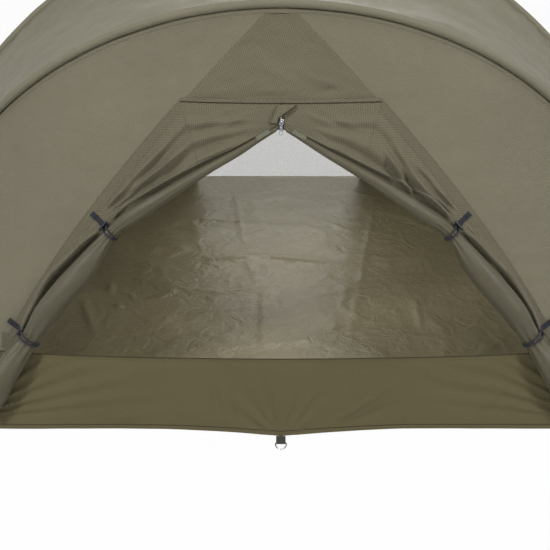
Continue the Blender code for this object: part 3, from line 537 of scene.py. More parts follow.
class Look:
    """One node material, built step by step."""

    def __init__(self, name, roughness, **fixed):
        self.material = bpy.data.materials.new(name)
        self.material.use_nodes = True
        self.tree = self.material.node_tree
        self.shader = self.tree.nodes["Principled BSDF"]
        self.shader.inputs["Roughness"].default_value = roughness
        for key, value in fixed.items():
            self.shader.inputs[key.replace("_", " ")].default_value = value
        self.height = None

    def node(self, kind, inputs=(), **settings):
        return add_node(self.tree, kind, inputs, **settings)

    def uv(self, turn=0.0):
        """UVs in metres, turned."""
        source = self.node("ShaderNodeUVMap", uv_map="UVMap").outputs["UV"]
        return self.node("ShaderNodeMapping", {"Vector": source, "Rotation": (0, 0, turn)}).outputs["Vector"]

    def place(self):
        return self.node("ShaderNodeTexCoord").outputs["Object"]

    def noise(self, where, scale, detail=3.0, rough=0.55, distort=0.0):
        settings = {"Vector": where, "Scale": scale, "Detail": detail}
        settings |= {"Roughness": rough, "Distortion": distort}
        return self.node("ShaderNodeTexNoise", settings).outputs["Fac"]

    def bands(self, pitch, distort=0.0, turn=0.0):
        """Stripes across the UVs, about pitch metres apart, at that turn."""
        settings = {"Vector": self.uv(turn), "Scale": 1 / (pitch * 3.1416)}
        settings |= {"Distortion": distort, "Detail": 1.0}
        return self.node("ShaderNodeTexWave", settings, bands_direction="X").outputs["Fac"]

    def weave(self, pitch, distort=0.0):
        """Threads crossing at right angles."""
        return self.math("MULTIPLY", self.bands(pitch, distort), self.bands(pitch, distort, math.pi / 2))

    def math(self, operation, a, b=0.0):
        return self.node("ShaderNodeMath", {0: a, 1: b}, operation=operation).outputs[0]

    def spread(self, value, low, high, to_low=0.0, to_high=1.0):
        settings = {"Value": value, "From Min": low, "From Max": high, "To Min": to_low, "To Max": to_high}
        return self.node("ShaderNodeMapRange", settings).outputs["Result"]

    def mix(self, share, a, b):
        """From a to b by share. Each is a socket or three numbers."""
        a, b = (v if isinstance(v, bpy.types.NodeSocket) else (*v, 1) for v in (a, b))
        return self.node("ShaderNodeMix", {0: share, 6: a, 7: b}, data_type="RGBA").outputs[2]

    def tint(self, base, where, strength, colour):
        """base with a colour laid over it, by where times strength."""
        return self.mix(self.math("MULTIPLY", where, strength), base, colour)

    def colour(self, value):
        self.tree.links.new(value, self.shader.inputs["Base Color"])

    def rough(self, value):
        self.tree.links.new(value, self.shader.inputs["Roughness"])

    def bump(self, height, distance, strength=1.0):
        """Adds one layer of relief, in metres."""
        settings = {"Height": height, "Distance": distance, "Strength": strength}
        if self.height is not None:
            settings["Normal"] = self.height
        self.height = self.node("ShaderNodeBump", settings).outputs["Normal"]
        self.tree.links.new(self.height, self.shader.inputs["Normal"])


def shade(colour, factor):
    return tuple(c * factor for c in colour)


THREAD_PITCH = 0.0016

CELL = 0.0054


def fabric(
    name, colour, roughness, variation, relief,
    honeycomb=0.0, sheen=0.08, edge=0.0, crinkle=14.0, gloss=0.18,
):
    """Woven cloth: a thread grain, colour drift, light creases, and a honeycomb weave of that strength.

    edge is the width of a darker doubled hem at UV u from 0 up."""
    look = Look(name, roughness, Sheen_Weight=sheen, Sheen_Roughness=0.5, Specular_IOR_Level=gloss)
    plain = look.uv()
    drift = look.spread(look.noise(plain, 3.5, 4.0), 0.3, 0.7)
    base = look.mix(drift, shade(colour, 1 - variation), shade(colour, 1 + variation))
    fleck = look.spread(look.noise(plain, 420.0, 2.0), 0.35, 0.65)
    base = look.tint(base, fleck, 0.20, shade(colour, 0.72))
    look.bump(look.noise(plain, crinkle, 5.0, 0.6, 0.6), relief * 3)
    look.bump(look.noise(plain, 110.0, 3.0), relief * 0.25)
    look.bump(look.weave(THREAD_PITCH, 0.3), 0.00012)
    if honeycomb:
        first, second, third = (look.bands(CELL, turn=math.pi * k / 3 + 0.26) for k in range(3))
        dots = look.math("ADD", look.math("ADD", first, second), third)
        pits = look.spread(dots, 1.3, 2.3)
        base = look.tint(base, pits, honeycomb, shade(colour, 0.40))
        look.bump(pits, 0.0008, 0.7 * min(1.0, 2 * honeycomb))
    if edge:
        across = look.node("ShaderNodeSeparateXYZ", {0: plain}).outputs["X"]
        base = look.tint(base, look.spread(across, edge, edge - 0.0012), 0.5, shade(colour, 0.66))
    look.colour(base)
    look.rough(look.spread(look.noise(plain, 30.0, 3.0), 0.3, 0.7, roughness - 0.06, roughness + 0.06))
    return look.material


def webbing(name, colour, roughness, rib=0.0021, sheen=0.2):
    """Woven tape with cross ribs and a slight sheen."""
    look = Look(name, roughness, Sheen_Weight=sheen)
    ribs = look.bands(rib, 0.4, math.pi / 2)
    grain = look.noise(look.uv(), 900.0, 2.0)
    base = look.mix(ribs, shade(colour, 0.75), shade(colour, 1.25))
    look.colour(look.tint(base, grain, 0.3, shade(colour, 0.5)))
    look.bump(ribs, 0.0004)
    look.bump(grain, 0.0001)
    return look.material


def plastic(name, colour, roughness, grain=700.0, on_uv=False):
    """Moulded plastic with a fine grain, scuffs and slightly worn tone."""
    look = Look(name, roughness)
    spot = look.uv() if on_uv else look.place()
    scuff = look.spread(look.noise(spot, 45.0, 6.0, 0.7, 0.4), 0.55, 0.75)
    base = look.mix(look.noise(spot, 12.0, 3.0), shade(colour, 0.85), shade(colour, 1.2))
    look.colour(look.tint(base, scuff, 0.35, tuple(c * 1.3 + 0.02 for c in colour)))
    look.rough(look.spread(scuff, 0, 1, roughness, roughness + 0.18))
    look.bump(look.noise(spot, grain, 2.0), 0.00012)
    return look.material


def metal(name, colour, roughness):
    """Metal with fine drawn lines, small scratches and dull spots."""
    look = Look(name, roughness, Metallic=1.0)
    lines = look.noise(look.place(), 900.0, 3.0)
    worn = look.spread(look.noise(look.place(), 130.0, 5.0, 0.65), 0.5, 0.72)
    base = look.mix(lines, shade(colour, 0.86), shade(colour, 1.1))
    look.colour(look.tint(base, worn, 0.25, shade(colour, 0.6)))
    look.rough(look.spread(worn, 0, 1, roughness, roughness + 0.15))
    look.bump(lines, 0.00005)
    return look.material


OLIVE = (0.184, 0.164, 0.108)
SIDE_TONE = (0.176, 0.159, 0.105)
BAND_TONE = (0.122, 0.105, 0.055)
# The rolls' inside face: a darker tone of its own, darkened further as painted shade for the shade the rolls
# lie in.
ROLL_TONE_WITH_PAINTED_SHADE = (0.088, 0.077, 0.045)
SHEET_TONE = (0.300, 0.262, 0.155)
NAVY = (0.006, 0.008, 0.016)
THREAD_TONE = (0.105, 0.095, 0.060)

panel = fabric(
    "panel_cloth", SIDE_TONE, 0.58, 0.06, 0.0009, honeycomb=0.30, sheen=0.06, crinkle=9.0, gloss=0.30
)
inner = fabric("cloth_inside", (0.205, 0.188, 0.128), 0.50, 0.06, 0.0010, sheen=0.05)
canopy = fabric(
    "canopy_cloth", (0.190, 0.174, 0.118), 0.58, 0.06, 0.0009, honeycomb=0.14, crinkle=9.0, gloss=0.30
)
door = fabric("door_honeycomb", OLIVE, 0.64, 0.06, 0.0010, honeycomb=0.85)
door_hemmed = fabric("door_honeycomb_hemmed", OLIVE, 0.64, 0.06, 0.0010, honeycomb=0.85, edge=0.027)
satin = fabric("door_inside_satin", ROLL_TONE_WITH_PAINTED_SHADE, 0.44, 0.07, 0.0007, sheen=0.04, gloss=0.35)
band_cloth = fabric("band_cloth", BAND_TONE, 0.74, 0.05, 0.0010, sheen=0.04, gloss=0.10)
tape = fabric("seam_tape", shade(OLIVE, 0.82), 0.66, 0.08, 0.0006)
thread = fabric("thread", THREAD_TONE, 0.6, 0.10, 0.0002)
dark_thread = fabric("dark_thread", (0.03, 0.033, 0.045), 0.6, 0.1, 0.0002)
navy_web = webbing("navy_webbing", NAVY, 0.78, sheen=0.06)
tab_web = webbing("tab_webbing", (0.026, 0.031, 0.020), 0.8, sheen=0.06)
grey_tape = webbing("zip_end_tape", (0.150, 0.160, 0.100), 0.6, 0.0014)
# Near-black look for thin strips along hems, seams and the zip flap's edge: painted shadow lines.
painted_shadow_look = fabric("painted_shadow_strip", (0.050, 0.045, 0.028), 0.8, 0.10, 0.0004, gloss=0.05)
zip_tape = webbing("zip_tape", shade(BAND_TONE, 0.9), 0.65, 0.0012)
elastic = webbing("elastic_cord", NAVY, 0.62, 0.0016, 0.05)
toggle_plastic = plastic("toggle_plastic", (0.008, 0.010, 0.017), 0.34, on_uv=True)
nylon = plastic("moulded_nylon", (0.030, 0.030, 0.032), 0.48)
rod_coat = plastic("coated_rod", (0.052, 0.054, 0.057), 0.38, 400.0)
steel = metal("plated_steel", (0.52, 0.53, 0.53), 0.30)
silver = metal("slider_metal", (0.27, 0.27, 0.31), 0.20)


def sheeting():
    """The groundsheet: glossy woven film with a crossing grain and pale fold marks, with painted shade
    darkening it towards the front.
    """
    look = Look("groundsheet_film", 0.36, Coat_Weight=0.12, Coat_Roughness=0.24, Specular_IOR_Level=0.5)
    plain = look.uv()
    drift = look.spread(look.noise(plain, 2.2, 4.0), 0.3, 0.7)
    base = look.mix(drift, shade(SHEET_TONE, 0.93), shade(SHEET_TONE, 1.08))
    from_front = look.node("ShaderNodeSeparateXYZ", {"Vector": look.place()}).outputs["Y"]
    # Painted shade: the film's colour darkens towards its front edge.
    base = look.mix(look.spread(from_front, 1.00, 0.10, 0.0, 0.34), base, shade(SHEET_TONE, 0.22))
    weave = look.weave(0.0034, 0.2)
    base = look.tint(base, weave, 0.25, shade(SHEET_TONE, 0.62))
    cells = {"Vector": plain, "Scale": 5.5, "Randomness": 1.0}
    folds = look.node("ShaderNodeTexVoronoi", cells, feature="DISTANCE_TO_EDGE").outputs["Distance"]
    broken = look.spread(look.noise(plain, 9.0, 3.0), 0.52, 0.62)
    marks = look.math("MULTIPLY", look.spread(folds, 0.012, 0.0), broken)
    look.colour(look.tint(base, marks, 0.30, shade(SHEET_TONE, 1.9)))
    look.rough(look.spread(look.noise(plain, 24.0, 4.0), 0.3, 0.7, 0.32, 0.46))
    look.bump(look.noise(plain, 7.0, 5.0, 0.62, 1.2), 0.005, 0.6)
    for scale, distance in ((11.0, 0.010), (27.0, 0.0045), (64.0, 0.0016)):
        crumple = look.noise(plain, scale, 1.5, 0.5, 0.9)
        look.bump(look.math("ABSOLUTE", look.math("SUBTRACT", crumple, 0.5)), distance, 0.8)
    look.bump(weave, 0.00010, 0.5)
    return look.material


def netting():
    """Pale window mesh: half see-through, with a fine dotted weave."""
    look = Look("window_netting", 0.8, Alpha=0.30)
    dots = look.weave(0.0030)
    base = look.mix(dots, (0.72, 0.725, 0.69), (0.58, 0.585, 0.55))
    look.colour(look.tint(base, look.noise(look.uv(), 4.0, 3.0), 0.15, (0.60, 0.60, 0.56)))
    look.bump(dots, 0.0003)
    return look.material


film = sheeting()
mesh_look = netting()

# Placing pieces on the frame


def placed(made, nodes):
    """A piece, after the nodes that it replaces are hidden."""
    if nodes:
        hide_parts(*nodes)
    return made


def on_front(made, slot, *nodes, body="front_frame"):
    """A piece on the front cloth: it rides on its body."""
    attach(made, body)
    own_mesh(made)
    return placed(made, nodes)


def fan(made, low, high, slot, *nodes):
    """A piece fixed where it stands, with the nodes that it replaces hidden."""
    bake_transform(made)
    spots = np.zeros(len(made.data.vertices) * 3)
    made.data.vertices.foreach_get("co", spots)
    return placed(made, nodes)


def on_body(made, body, slot, *nodes):
    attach(made, body)
    return placed(made, nodes)


def area(grid):
    """The area of a grid surface."""
    a = grid[1:, 1:] - grid[:-1, :-1]
    b = grid[1:, :-1] - grid[:-1, 1:]
    return float(np.linalg.norm(np.cross(a, b), axis=-1).sum() / 2)


def clustered(n, reach, total):
    """Shares from 0 to 1 with extra lines close to the ends, where seams lie."""
    near = np.array([0.15, 0.4, 0.7, 1.0]) * reach / total
    body = np.linspace(near[-1], 1 - near[-1], n)
    return np.concatenate([[0.0], near[:-1], body, 1 - near[:-1][::-1], [1.0]])


# The groundsheet

SHEET_FOLDS = (
    ((-0.279, 1.074), (-0.062, 1.110), 0.009, 0.014),
    ((-0.062, 1.110), (0.242, 1.031), 0.009, 0.014),
    ((-0.058, 0.905), (-0.050, 0.380), 0.006, 0.009),
    ((0.434, 1.751), (0.212, 0.393), 0.0028, 0.010),
    ((0.474, 0.760), (0.468, 0.550), 0.006, 0.010),
    ((0.723, 0.473), (0.605, 0.363), 0.006, 0.010),
    ((-0.610, 0.880), (-0.596, 0.780), 0.009, 0.012),
    ((-0.570, 0.720), (-0.545, 0.690), 0.008, 0.010),
    ((-0.690, 0.760), (-0.611, 0.518), 0.008, 0.016),
    ((-0.400, 1.480), (-0.060, 1.420), 0.006, 0.012),
    ((0.060, 1.550), (0.300, 1.340), 0.006, 0.012),
    ((-0.200, 1.800), (-0.140, 1.250), 0.005, 0.010),
    ((-0.330, 0.640), (-0.100, 0.700), 0.005, 0.010),
    ((0.100, 0.780), (0.360, 0.840), 0.005, 0.010),
)


def build_groundsheet():
    share_x, share_y = np.meshgrid(np.linspace(-1, 1, 261), np.linspace(0, 1, 221))
    inset = 0.004
    x = np.sign(share_x) * SIDE_END_X * np.abs(share_x) ** 0.8 - inset * share_x
    low = front_hem(x) - tab_pull(x, 0.0) + inset
    high = rear_hem(x) - inset
    y = low + (high - low) * share_y
    margin = np.minimum(np.minimum(y - low, high - y), SIDE_END_X - np.abs(x))
    z = 0.0030 * layered(x * 5, y * 5, 11) + creases(x, y, SHEET_FOLDS)
    broad = layered(x * 3.2 + 5, y * 3.2, 31)
    fine = layered(x * 9 + 2, y * 7 + 3, 47, 2)
    for raw, sharp, tall in ((broad, 2.4, 0.0045), (fine, 3.0, 0.0016)):
        z = z + tall * np.clip(1 - np.abs(raw) * sharp, 0, 1) ** 2
    z = 0.0012 + np.maximum(z - z.min() * 0.55, 0) * step(0.0, 0.08, margin)
    z = z + 0.0042 * bell((high - y) / 0.006) * step(1.0, 1.3, y)
    uv = np.stack([x, y], axis=-1)
    made = cloth("groundsheet_film_sheet", points(x, y, z), 0.0005, [film], uv)
    area(points(x, y, 0.0))
    on_body(made, "base", "groundsheet", "groundsheet")


build_groundsheet()

# The front face


def sewn_edge(name, look, slot, normals, strip, fold, stitches):
    """A doubled edge on the front face: an uneven strip, a near-black strip of painted shadow along it and a
    row of stitches.
    """
    line, width, high, waves = strip
    parts = [
        ribbon_parts(line, normals, width, high, waves=waves),
        # fold gives the near-black strip: a painted shadow line along the doubled edge
        ribbon_parts(fold[0], normals, *fold[1:], mark=1),
        stitch_parts(stitches, normals, mark=2),
    ]
    return on_front(merged(name, parts, [look, painted_shadow_look, thread]), slot)


BAND_FOLDS = (
    ((-0.150, 0.012), (-0.172, 0.170), 0.0046, 0.007),
    ((-0.128, 0.014), (-0.140, 0.120), -0.0036, 0.007),
    ((-0.190, 0.020), (-0.205, 0.150), -0.0030, 0.008),
    ((0.150, 0.030), (0.265, 0.092), 0.0056, 0.007),
    ((0.185, 0.020), (0.330, 0.075), -0.0034, 0.008),
    ((-0.480, 0.020), (-0.300, 0.060), 0.0022, 0.010),
    ((0.520, 0.030), (0.640, 0.120), 0.0020, 0.011),
    ((-0.660, 0.030), (-0.560, 0.130), 0.0020, 0.011),
)

# The foot of the roll, from which folds run along the band: x and z

FOLD_CORNER = (0.885, 0.026)


def build_band():
    x = np.linspace(-SIDE_END_X, SIDE_END_X, 341)
    span = BAND_TOP - GAP - HEM_Z
    z = HEM_Z + span * clustered(38, 0.010, span)
    xx, zz = np.meshgrid(x, z)
    top = step(0.0, 0.030, BAND_TOP - zz)
    out = 0.0028 * layered(xx * 4.2, zz * 5 + 2, 5) * top
    out = out + 0.0009 * step(0.0118, 0.0100, zz - HEM_Z) - 0.0006 * bell((zz - HEM_Z - 0.0125) / 0.0018)
    fold, far, _ = rays(xx, zz + 0.004, 15, 0.12, 9, 1.6, (6, 2))
    out = out + 0.0045 * fold * step(0.02, 0.06, far) * top
    for side in SIDES.values():
        from_corner = FOLD_CORNER[0] - xx * side
        fold, far, turn = rays(from_corner, zz - FOLD_CORNER[1], 44, 0.24, 19 + side, 1.8, (7, 3))
        room = step(0.02, 0.14, turn) * step(0.95, 0.6, turn) * step(0.05, 0.15, far) * top
        out = out + 0.0098 * fold * room
    out = out + creases(xx, zz, BAND_FOLDS)
    looks = [inner, band_cloth]
    made = cloth("bottom_band_cloth", front_point(xx, zz, out), 0.0009, looks, np.stack([xx, zz], axis=-1))
    line_x = np.linspace(-SIDE_END_X + 0.004, SIDE_END_X - 0.004, 420)
    hem_z = HEM_Z + 0.0095
    extra = np.interp(line_x, x, out[np.argmin(np.abs(z - hem_z))])
    hem = sewn_edge(
        "rolled_hem", band_cloth, "band_cloth", front_normal(line_x, hem_z),
        strip=(front_point(line_x, hem_z - 0.0042, extra + 0.0004), 0.0098, 0.0013, 0.2),
        # fold: a near-black strip just above the hem, a painted shadow line
        fold=(front_point(line_x, hem_z + 0.0017, extra + 0.0004), 0.0018, 0.0003),
        stitches=front_point(line_x, hem_z - 0.0012, extra + 0.0017),
    )
    line = front_point(line_x, BAND_TOP, 0.0004)
    normals = front_normal(line_x, BAND_TOP)
    top_seam = sewn_edge(
        "band_top_seam", band_cloth, "band_cloth", normals,
        strip=(line, 0.011, 0.0010, 0.15),
        # fold: a near-black strip along the seam's upper edge, a painted shadow line
        fold=(line + (0, 0, 0.0048), 0.0022, 0.0012),
        stitches=line + (0, 0, -0.0030) + normals * 0.0010,
    )
    area(front_point(xx, zz))
    on_front(made, "band_cloth", "bottom_band")


def build_side_panel(side_name, side):
    foot = door_edge_at(BAND_TOP + GAP)
    apex = float(FRONT.angle_across(APEX_HALF + GAP, FACE_EDGE))
    end = float(FRONT.angle_across(SIDE_END_X, FACE_EDGE))
    down = np.linspace(0, 1, 111)
    across = clustered(52, 0.010, 0.5)
    x_in, z_in = door_edge(foot * down)
    x_in = x_in + GAP
    arc = FRONT.at(apex + (end - apex) * np.maximum(down, 0.03), FACE_EDGE)
    z_out = np.maximum(arc[:, 2], BAND_TOP + GAP)
    x = x_in[:, None] + (arc[:, 0] - x_in)[:, None] * across
    z = z_in[:, None] + (z_out - z_in)[:, None] * across
    width = np.hypot(arc[:, 0] - x_in, z_out - z_in)[:, None]
    from_door = across * width
    low = np.minimum(np.minimum(from_door, (1 - across) * width), z - BAND_TOP)
    seed = 60 + side
    foot_folds = rays(1.02 - x, z - 0.10, 10, 0.22, seed + 3, fine=(5, 1))[0]
    out = 0.0050 * layered(x * 3 * side + 9, z * 3, seed) + 0.0040 * foot_folds
    puckers = 0.0016 * np.sin(z * 2 * np.pi / 0.062 + 2 * noise2(z * 8, 0, seed + 5))
    puckers = puckers * np.exp(-from_door / 0.05) * step(0.013, 0.03, from_door) * step(0, 0.1, low + 0.02)
    grid = front_point(side * x, z, out * step(0.012, 0.10, low) + puckers)
    uv = np.stack([x * side, z * 1.25], axis=-1)
    made = cloth(f"side_panel_cloth_{side_name}", grid, 0.0009, [panel, inner][::side], uv)
    area(front_point(side * x, z))
    on_front(made, "wall_cloth", f"side_panel_{side_name}")


HEADER_FOLDS = (
    ((-0.190, 0.875), (-0.040, 0.915), 0.0030, 0.009),
    ((0.200, 0.880), (0.050, 0.930), 0.0030, 0.009),
    ((-0.130, 0.868), (0.030, 0.880), -0.0025, 0.008),
    ((0.060, 0.872), (0.170, 0.900), -0.0025, 0.008),
    ((-0.060, 0.950), (0.050, 0.905), 0.0025, 0.010),
)


def build_header():
    half, z = door_edge(door_edge_at(DOOR_TOP - HEADER_LAP) * np.linspace(0, 1, 60))
    share = np.linspace(-1, 1, 121)
    x = (half - GAP)[:, None] * share
    z = np.repeat(z[:, None], len(share), axis=1)
    calm = step(0.0, 0.035, (1 - np.abs(share)) * half[:, None]) * step(0.004, 0.03, z - DOOR_TOP)
    out = 0.0035 * layered(x * 8 + 3, z * 14, 91) * calm
    out = out + creases(x, z, HEADER_FOLDS) * step(0, 0.02, z - DOOR_TOP)
    uv = np.stack([x, z * 1.2], axis=-1)
    made = cloth("door_header_cloth", front_point(x, z, out), 0.0008, [door, inner], uv)
    reach = DOOR_CORNER_X + 0.006
    hem_x = np.linspace(-reach, reach, 160)
    level = DOOR_TOP + 0.0030
    hem_z = level + 0.0008 * noise2(hem_x * 16, 0, 95)
    hem = sewn_edge(
        "door_header_hem", door, "wall_cloth", front_normal(hem_x, level),
        strip=(front_point(hem_x, hem_z, DOOR_OUT + 0.0012), 0.0085, 0.0020, 0.25),
        # fold: a near-black strip under the header's hem, a painted shadow line
        fold=(front_point(hem_x, hem_z - 0.0053, DOOR_OUT + 0.0010), 0.0027, 0.0006),
        stitches=front_point(hem_x, hem_z + 0.0022, DOOR_OUT + 0.0032),
    )
    area(front_point(x, z))
    on_front(made, "wall_cloth", "door_header")


# Shares of the roll's length at the end of its tip, at the door's top corner and at the band

TIP_SHARE = 0.02

CORNER_SHARE = 0.2

FOOT_SHARE = 0.8


def roll_radius(s):
    """The roll's radius at share s of its length: growing downwards, drawn in at the toggles."""
    grown = ROLL_TOP_R + (ROLL_LOW_R - ROLL_TOP_R) * np.clip(s / 0.62, 0, 1) ** 1.1
    grown = grown - 0.0027 * np.clip(-s / TIP_SHARE, 0, 1)
    return grown - sum(PINCH * bell((s - spot) / PINCH_LONG) for spot in TOGGLES.values())


def door_out(s):
    return DOOR_OUT + FOOT_LIFT * np.clip((s - 0.70) / 0.08, 0, 1)


def door_lines(s):
    """Middle of the roll, its way on, and the outer edge, on the face, at shares s of the right roll."""
    dense = curve_through(ROLL_PATH)
    tip = np.clip(-s / TIP_SHARE, 0, 1)[..., None]
    middle = at_share(dense, np.maximum(s, 0)) + (np.array(ROLL_TIP) - ROLL_PATH[0]) * tip
    middle = middle + step(0.12, 0.0, s)[..., None] * (0.0, 0.0075)
    ahead = at_share(dense, np.minimum(np.maximum(s, 0) + 0.01, 1))
    way = unit(ahead - at_share(dense, np.maximum(s - 0.01, 0)))
    seam_t = np.linspace(door_edge_at(DOOR_TOP), door_edge_at(DOOR_FOOT_Z), 120)
    edge = np.stack(door_edge(seam_t), axis=-1) + (DOOR_LAP, 0)
    top = [(0.0036, DOOR_TOP), (DOOR_CORNER_X + DOOR_LAP, DOOR_TOP)]
    on_top = at_share(top, np.clip(s / CORNER_SHARE, 0, 1))
    on_edge = at_share(edge, np.clip((s - CORNER_SHARE) / (FOOT_SHARE - CORNER_SHARE), 0, 1))
    end = middle + (0.030, 0.012)
    slid = edge[-1] + (end - edge[-1]) * np.clip((s - FOOT_SHARE) / (1 - FOOT_SHARE), 0, 1)[:, None]
    slid[:, 1] = np.maximum(slid[:, 1], end[:, 1])
    outer = np.where((s > CORNER_SHARE)[:, None], on_edge, on_top)
    return middle, way, np.where((s > FOOT_SHARE)[:, None], slid, outer)


def door_axes(middle, way, outer):
    """Place on the face, normal, and square across the roll towards the outer edge."""
    here = front_point(middle[..., 0], middle[..., 1])
    normal = front_normal(middle[..., 0], middle[..., 1])
    on = middle + way * 0.01
    ahead = front_point(on[..., 0], on[..., 1]) - here
    aim = unit(np.cross(normal, ahead))
    towards = front_point(outer[..., 0], outer[..., 1]) - here
    flip = np.where((aim * towards).sum(axis=-1, keepdims=True) < 0, -1.0, 1.0)
    return here, normal, aim * flip


def toggle_room(s, wide):
    """0 at the toggles, 1 away from them."""
    room = 1.0
    for spot in TOGGLES.values():
        room = room * (1 - np.exp(-(((s - spot) / wide) ** 4)))
    return room


DOOR_FOLDS = {
    1: (
        ((0.262, 0.755), (0.352, 0.615), 0.0190, 0.0075),
        ((0.300, 0.745), (0.418, 0.582), 0.0220, 0.0100),
        ((0.272, 0.716), (0.332, 0.618), -0.0160, 0.0080),
        ((0.310, 0.690), (0.386, 0.588), -0.0160, 0.0085),
        ((0.060, 0.835), (0.160, 0.790), 0.0040, 0.0080),
        ((0.105, 0.842), (0.230, 0.775), 0.0045, 0.0090),
        ((0.560, 0.440), (0.640, 0.330), 0.0090, 0.0100),
        ((0.600, 0.425), (0.700, 0.270), 0.0080, 0.0100),
    ),
    -1: (
        ((0.250, 0.742), (0.418, 0.615), 0.0190, 0.0085),
        ((0.300, 0.690), (0.460, 0.560), -0.0180, 0.0085),
        ((0.300, 0.752), (0.450, 0.600), 0.0160, 0.0100),
        ((0.070, 0.838), (0.190, 0.780), 0.0045, 0.0085),
        ((0.130, 0.845), (0.240, 0.790), 0.0035, 0.0080),
        ((0.540, 0.465), (0.640, 0.330), 0.0090, 0.0100),
        ((0.620, 0.400), (0.715, 0.240), 0.0080, 0.0100),
    ),
}

DOOR_HEM = 0.030

PLEATS = 2.5

ROLL_TURNS = 2.2


def build_door(side_name, side):
    """One door half as one cloth: its flat part with pleats, then the outward roll, wound twice."""
    seed = 200 + 30 * side
    s = np.concatenate([[-0.02, -0.015, -0.010, -0.005], np.linspace(0, 1, 231)])
    middle, way, outer = door_lines(s)
    here, normal, aim = door_axes(middle, way, outer)
    ss, big, off = s[:, None], roll_radius(s)[:, None], door_out(s)[:, None]
    u = 1 - (1 - np.linspace(0, 1, 84)) ** 1.35
    spot = outer[:, None, :] + (middle - outer)[:, None, :] * u[:, None]
    width = np.linalg.norm(middle - outer, axis=-1)[:, None]
    d = u * width
    left = (1 - u) * width
    usable = np.maximum(width - DOOR_HEM - big * 1.02, 0.004)
    p = np.clip((d - DOOR_HEM) / usable, 0, 1)
    clear = toggle_room(ss, 0.030)

    wave = hump(2 * np.pi * (PLEATS * p + 0.30 * noise2(ss * 9, p * 1.3, seed)))
    tall = 0.0165 * toggle_room(ss, 0.036) * step(0.03, 0.16, ss) * step(0.97, 0.85, ss)
    tall = tall * np.minimum(1, usable / 0.06) * (0.75 + 0.45 * noise2(ss * 6, 0, seed + 4))
    fold = tall * wave * step(0.0, 0.25, p) * step(1.0, 0.88, p) * (0.75 + 0.5 * p)
    for level in TOGGLES.values():
        away = (ss - level) / 0.10
        drawn = bell(away) * np.cos(2 * np.pi * (3.1 * p + 1.1 * away))
        fold = fold + 0.0050 * drawn * clear * np.sin(np.pi * p) ** 0.8
    fine = 0.0020 * layered(ss * 14, p * 3, seed + 8, 2) * step(0.03, 0.05, d)
    fold = fold + fine * step(big * 0.9, big * 1.3, left) * clear
    puff = bell((left / big - 1.62 - 0.12 * noise2(ss * 11, 0, seed + 6)) / 0.33)
    puff = puff * step(0.02, 0.10, ss) * step(0.82, 0.75, ss) * clear
    fold = np.maximum(fold, puff * big * (0.82 + 0.25 * noise2(ss * 7, 0, seed + 7)))
    fold = fold + creases(spot[..., 0], spot[..., 1], DOOR_FOLDS[side])
    hem = 0.0012 * step(0.0285, 0.0265, d) - 0.0006 * bell((d - 0.0292) / 0.0014)
    fold = fold + hem * (ss > CORNER_SHARE) * step(0.0, 0.010, d)
    fold = np.maximum(fold, -0.0006) * step(0.0, 0.006, left + 0.002)
    flat = front_point(spot[..., 0], spot[..., 1], off + fold)

    t = np.linspace(0, 1, 105)[1:] ** 1.15 * ROLL_TURNS
    turn = 1.5 * np.pi - 2 * np.pi * t
    lost = np.maximum(t - 0.35, 0)
    lost = lost * lost / (lost + 0.25)
    near = sum(bell((ss - level) / 0.055) for level in TOGGLES.values())
    phase = 1.8 * noise2(ss * 5, 0, seed + 12) + 1.2 * noise2(ss * 9, np.cos(turn), seed + 13)
    fine = hump(8 * turn + phase) ** 1.3
    broad = hump(2 * turn + 7.5 * ss + 2.2 * noise2(ss * 4, 0, seed + 14))
    drag = 0.5 + 0.5 * np.sin(3 * turn + 26 * ss + 2.5 * noise2(ss * 6, np.sin(turn) * 1.5, seed + 15))
    loss = 0.17 * near * fine + (1 - 0.8 * np.minimum(near, 1)) * (0.075 * broad + 0.045 * drag**2)
    loss = loss + 0.05 * step(0.10, 0.0, np.abs(ss - 0.30)) * fine
    size = big * (1 - 0.16 * lost) * (1 - loss * step(0.0, 0.25, t))
    wobble = 0.0035 * noise2(ss * 7, 0, seed + 20) * toggle_room(ss, 0.06) * step(0.1, 0.3, ss)
    hub = here + normal * (off + big) + aim * wobble
    grid = np.concatenate([flat, ringed(hub, aim, normal, size, turn)], axis=1)

    across = np.linalg.norm(np.diff(grid, axis=1), axis=2)
    uu = np.concatenate([0 * ss, np.cumsum(across, axis=1)], axis=1) + DOOR_HEM * (ss < CORNER_SHARE)
    uv = np.stack([uu, np.broadcast_to(ss * 1.15, uu.shape)], axis=-1)
    grid = grid * (side, 1, 1)
    made = cloth(f"door_half_cloth_{side_name}", grid, 0.0006, [satin, door_hemmed][::side], uv)
    on_front(made, "wall_cloth", f"door_half_{side_name}")


build_band()
for side_name, side in SIDES.items():
    build_side_panel(side_name, side)
build_header()
for side_name, side in SIDES.items():
    build_door(side_name, side)

# Zip, its flap and the tape ends


def face_axes(x, z, out):
    """A place on the front face with the axes right, up the face and outward."""
    normal = front_normal(x, z)
    up = unit(np.array((0.0, 0.0, 1.0)) - normal * normal[2])
    return front_point(x, z, out), np.cross(up, normal), up, normal


def local(base, spots):
    """Points given in a place's own axes, put where they belong."""
    origin, a, b, c = base
    spots = np.asarray(spots, float)
    return origin + spots[..., :1] * a + spots[..., 1:2] * b + spots[..., 2:] * c


def tube_parts(path, radius, sides):
    """A closed tube around a path, in the first look of a merged piece."""
    return tube_rings(path, radius, sides).reshape(-1, 3), tube_faces(len(path), sides), 0


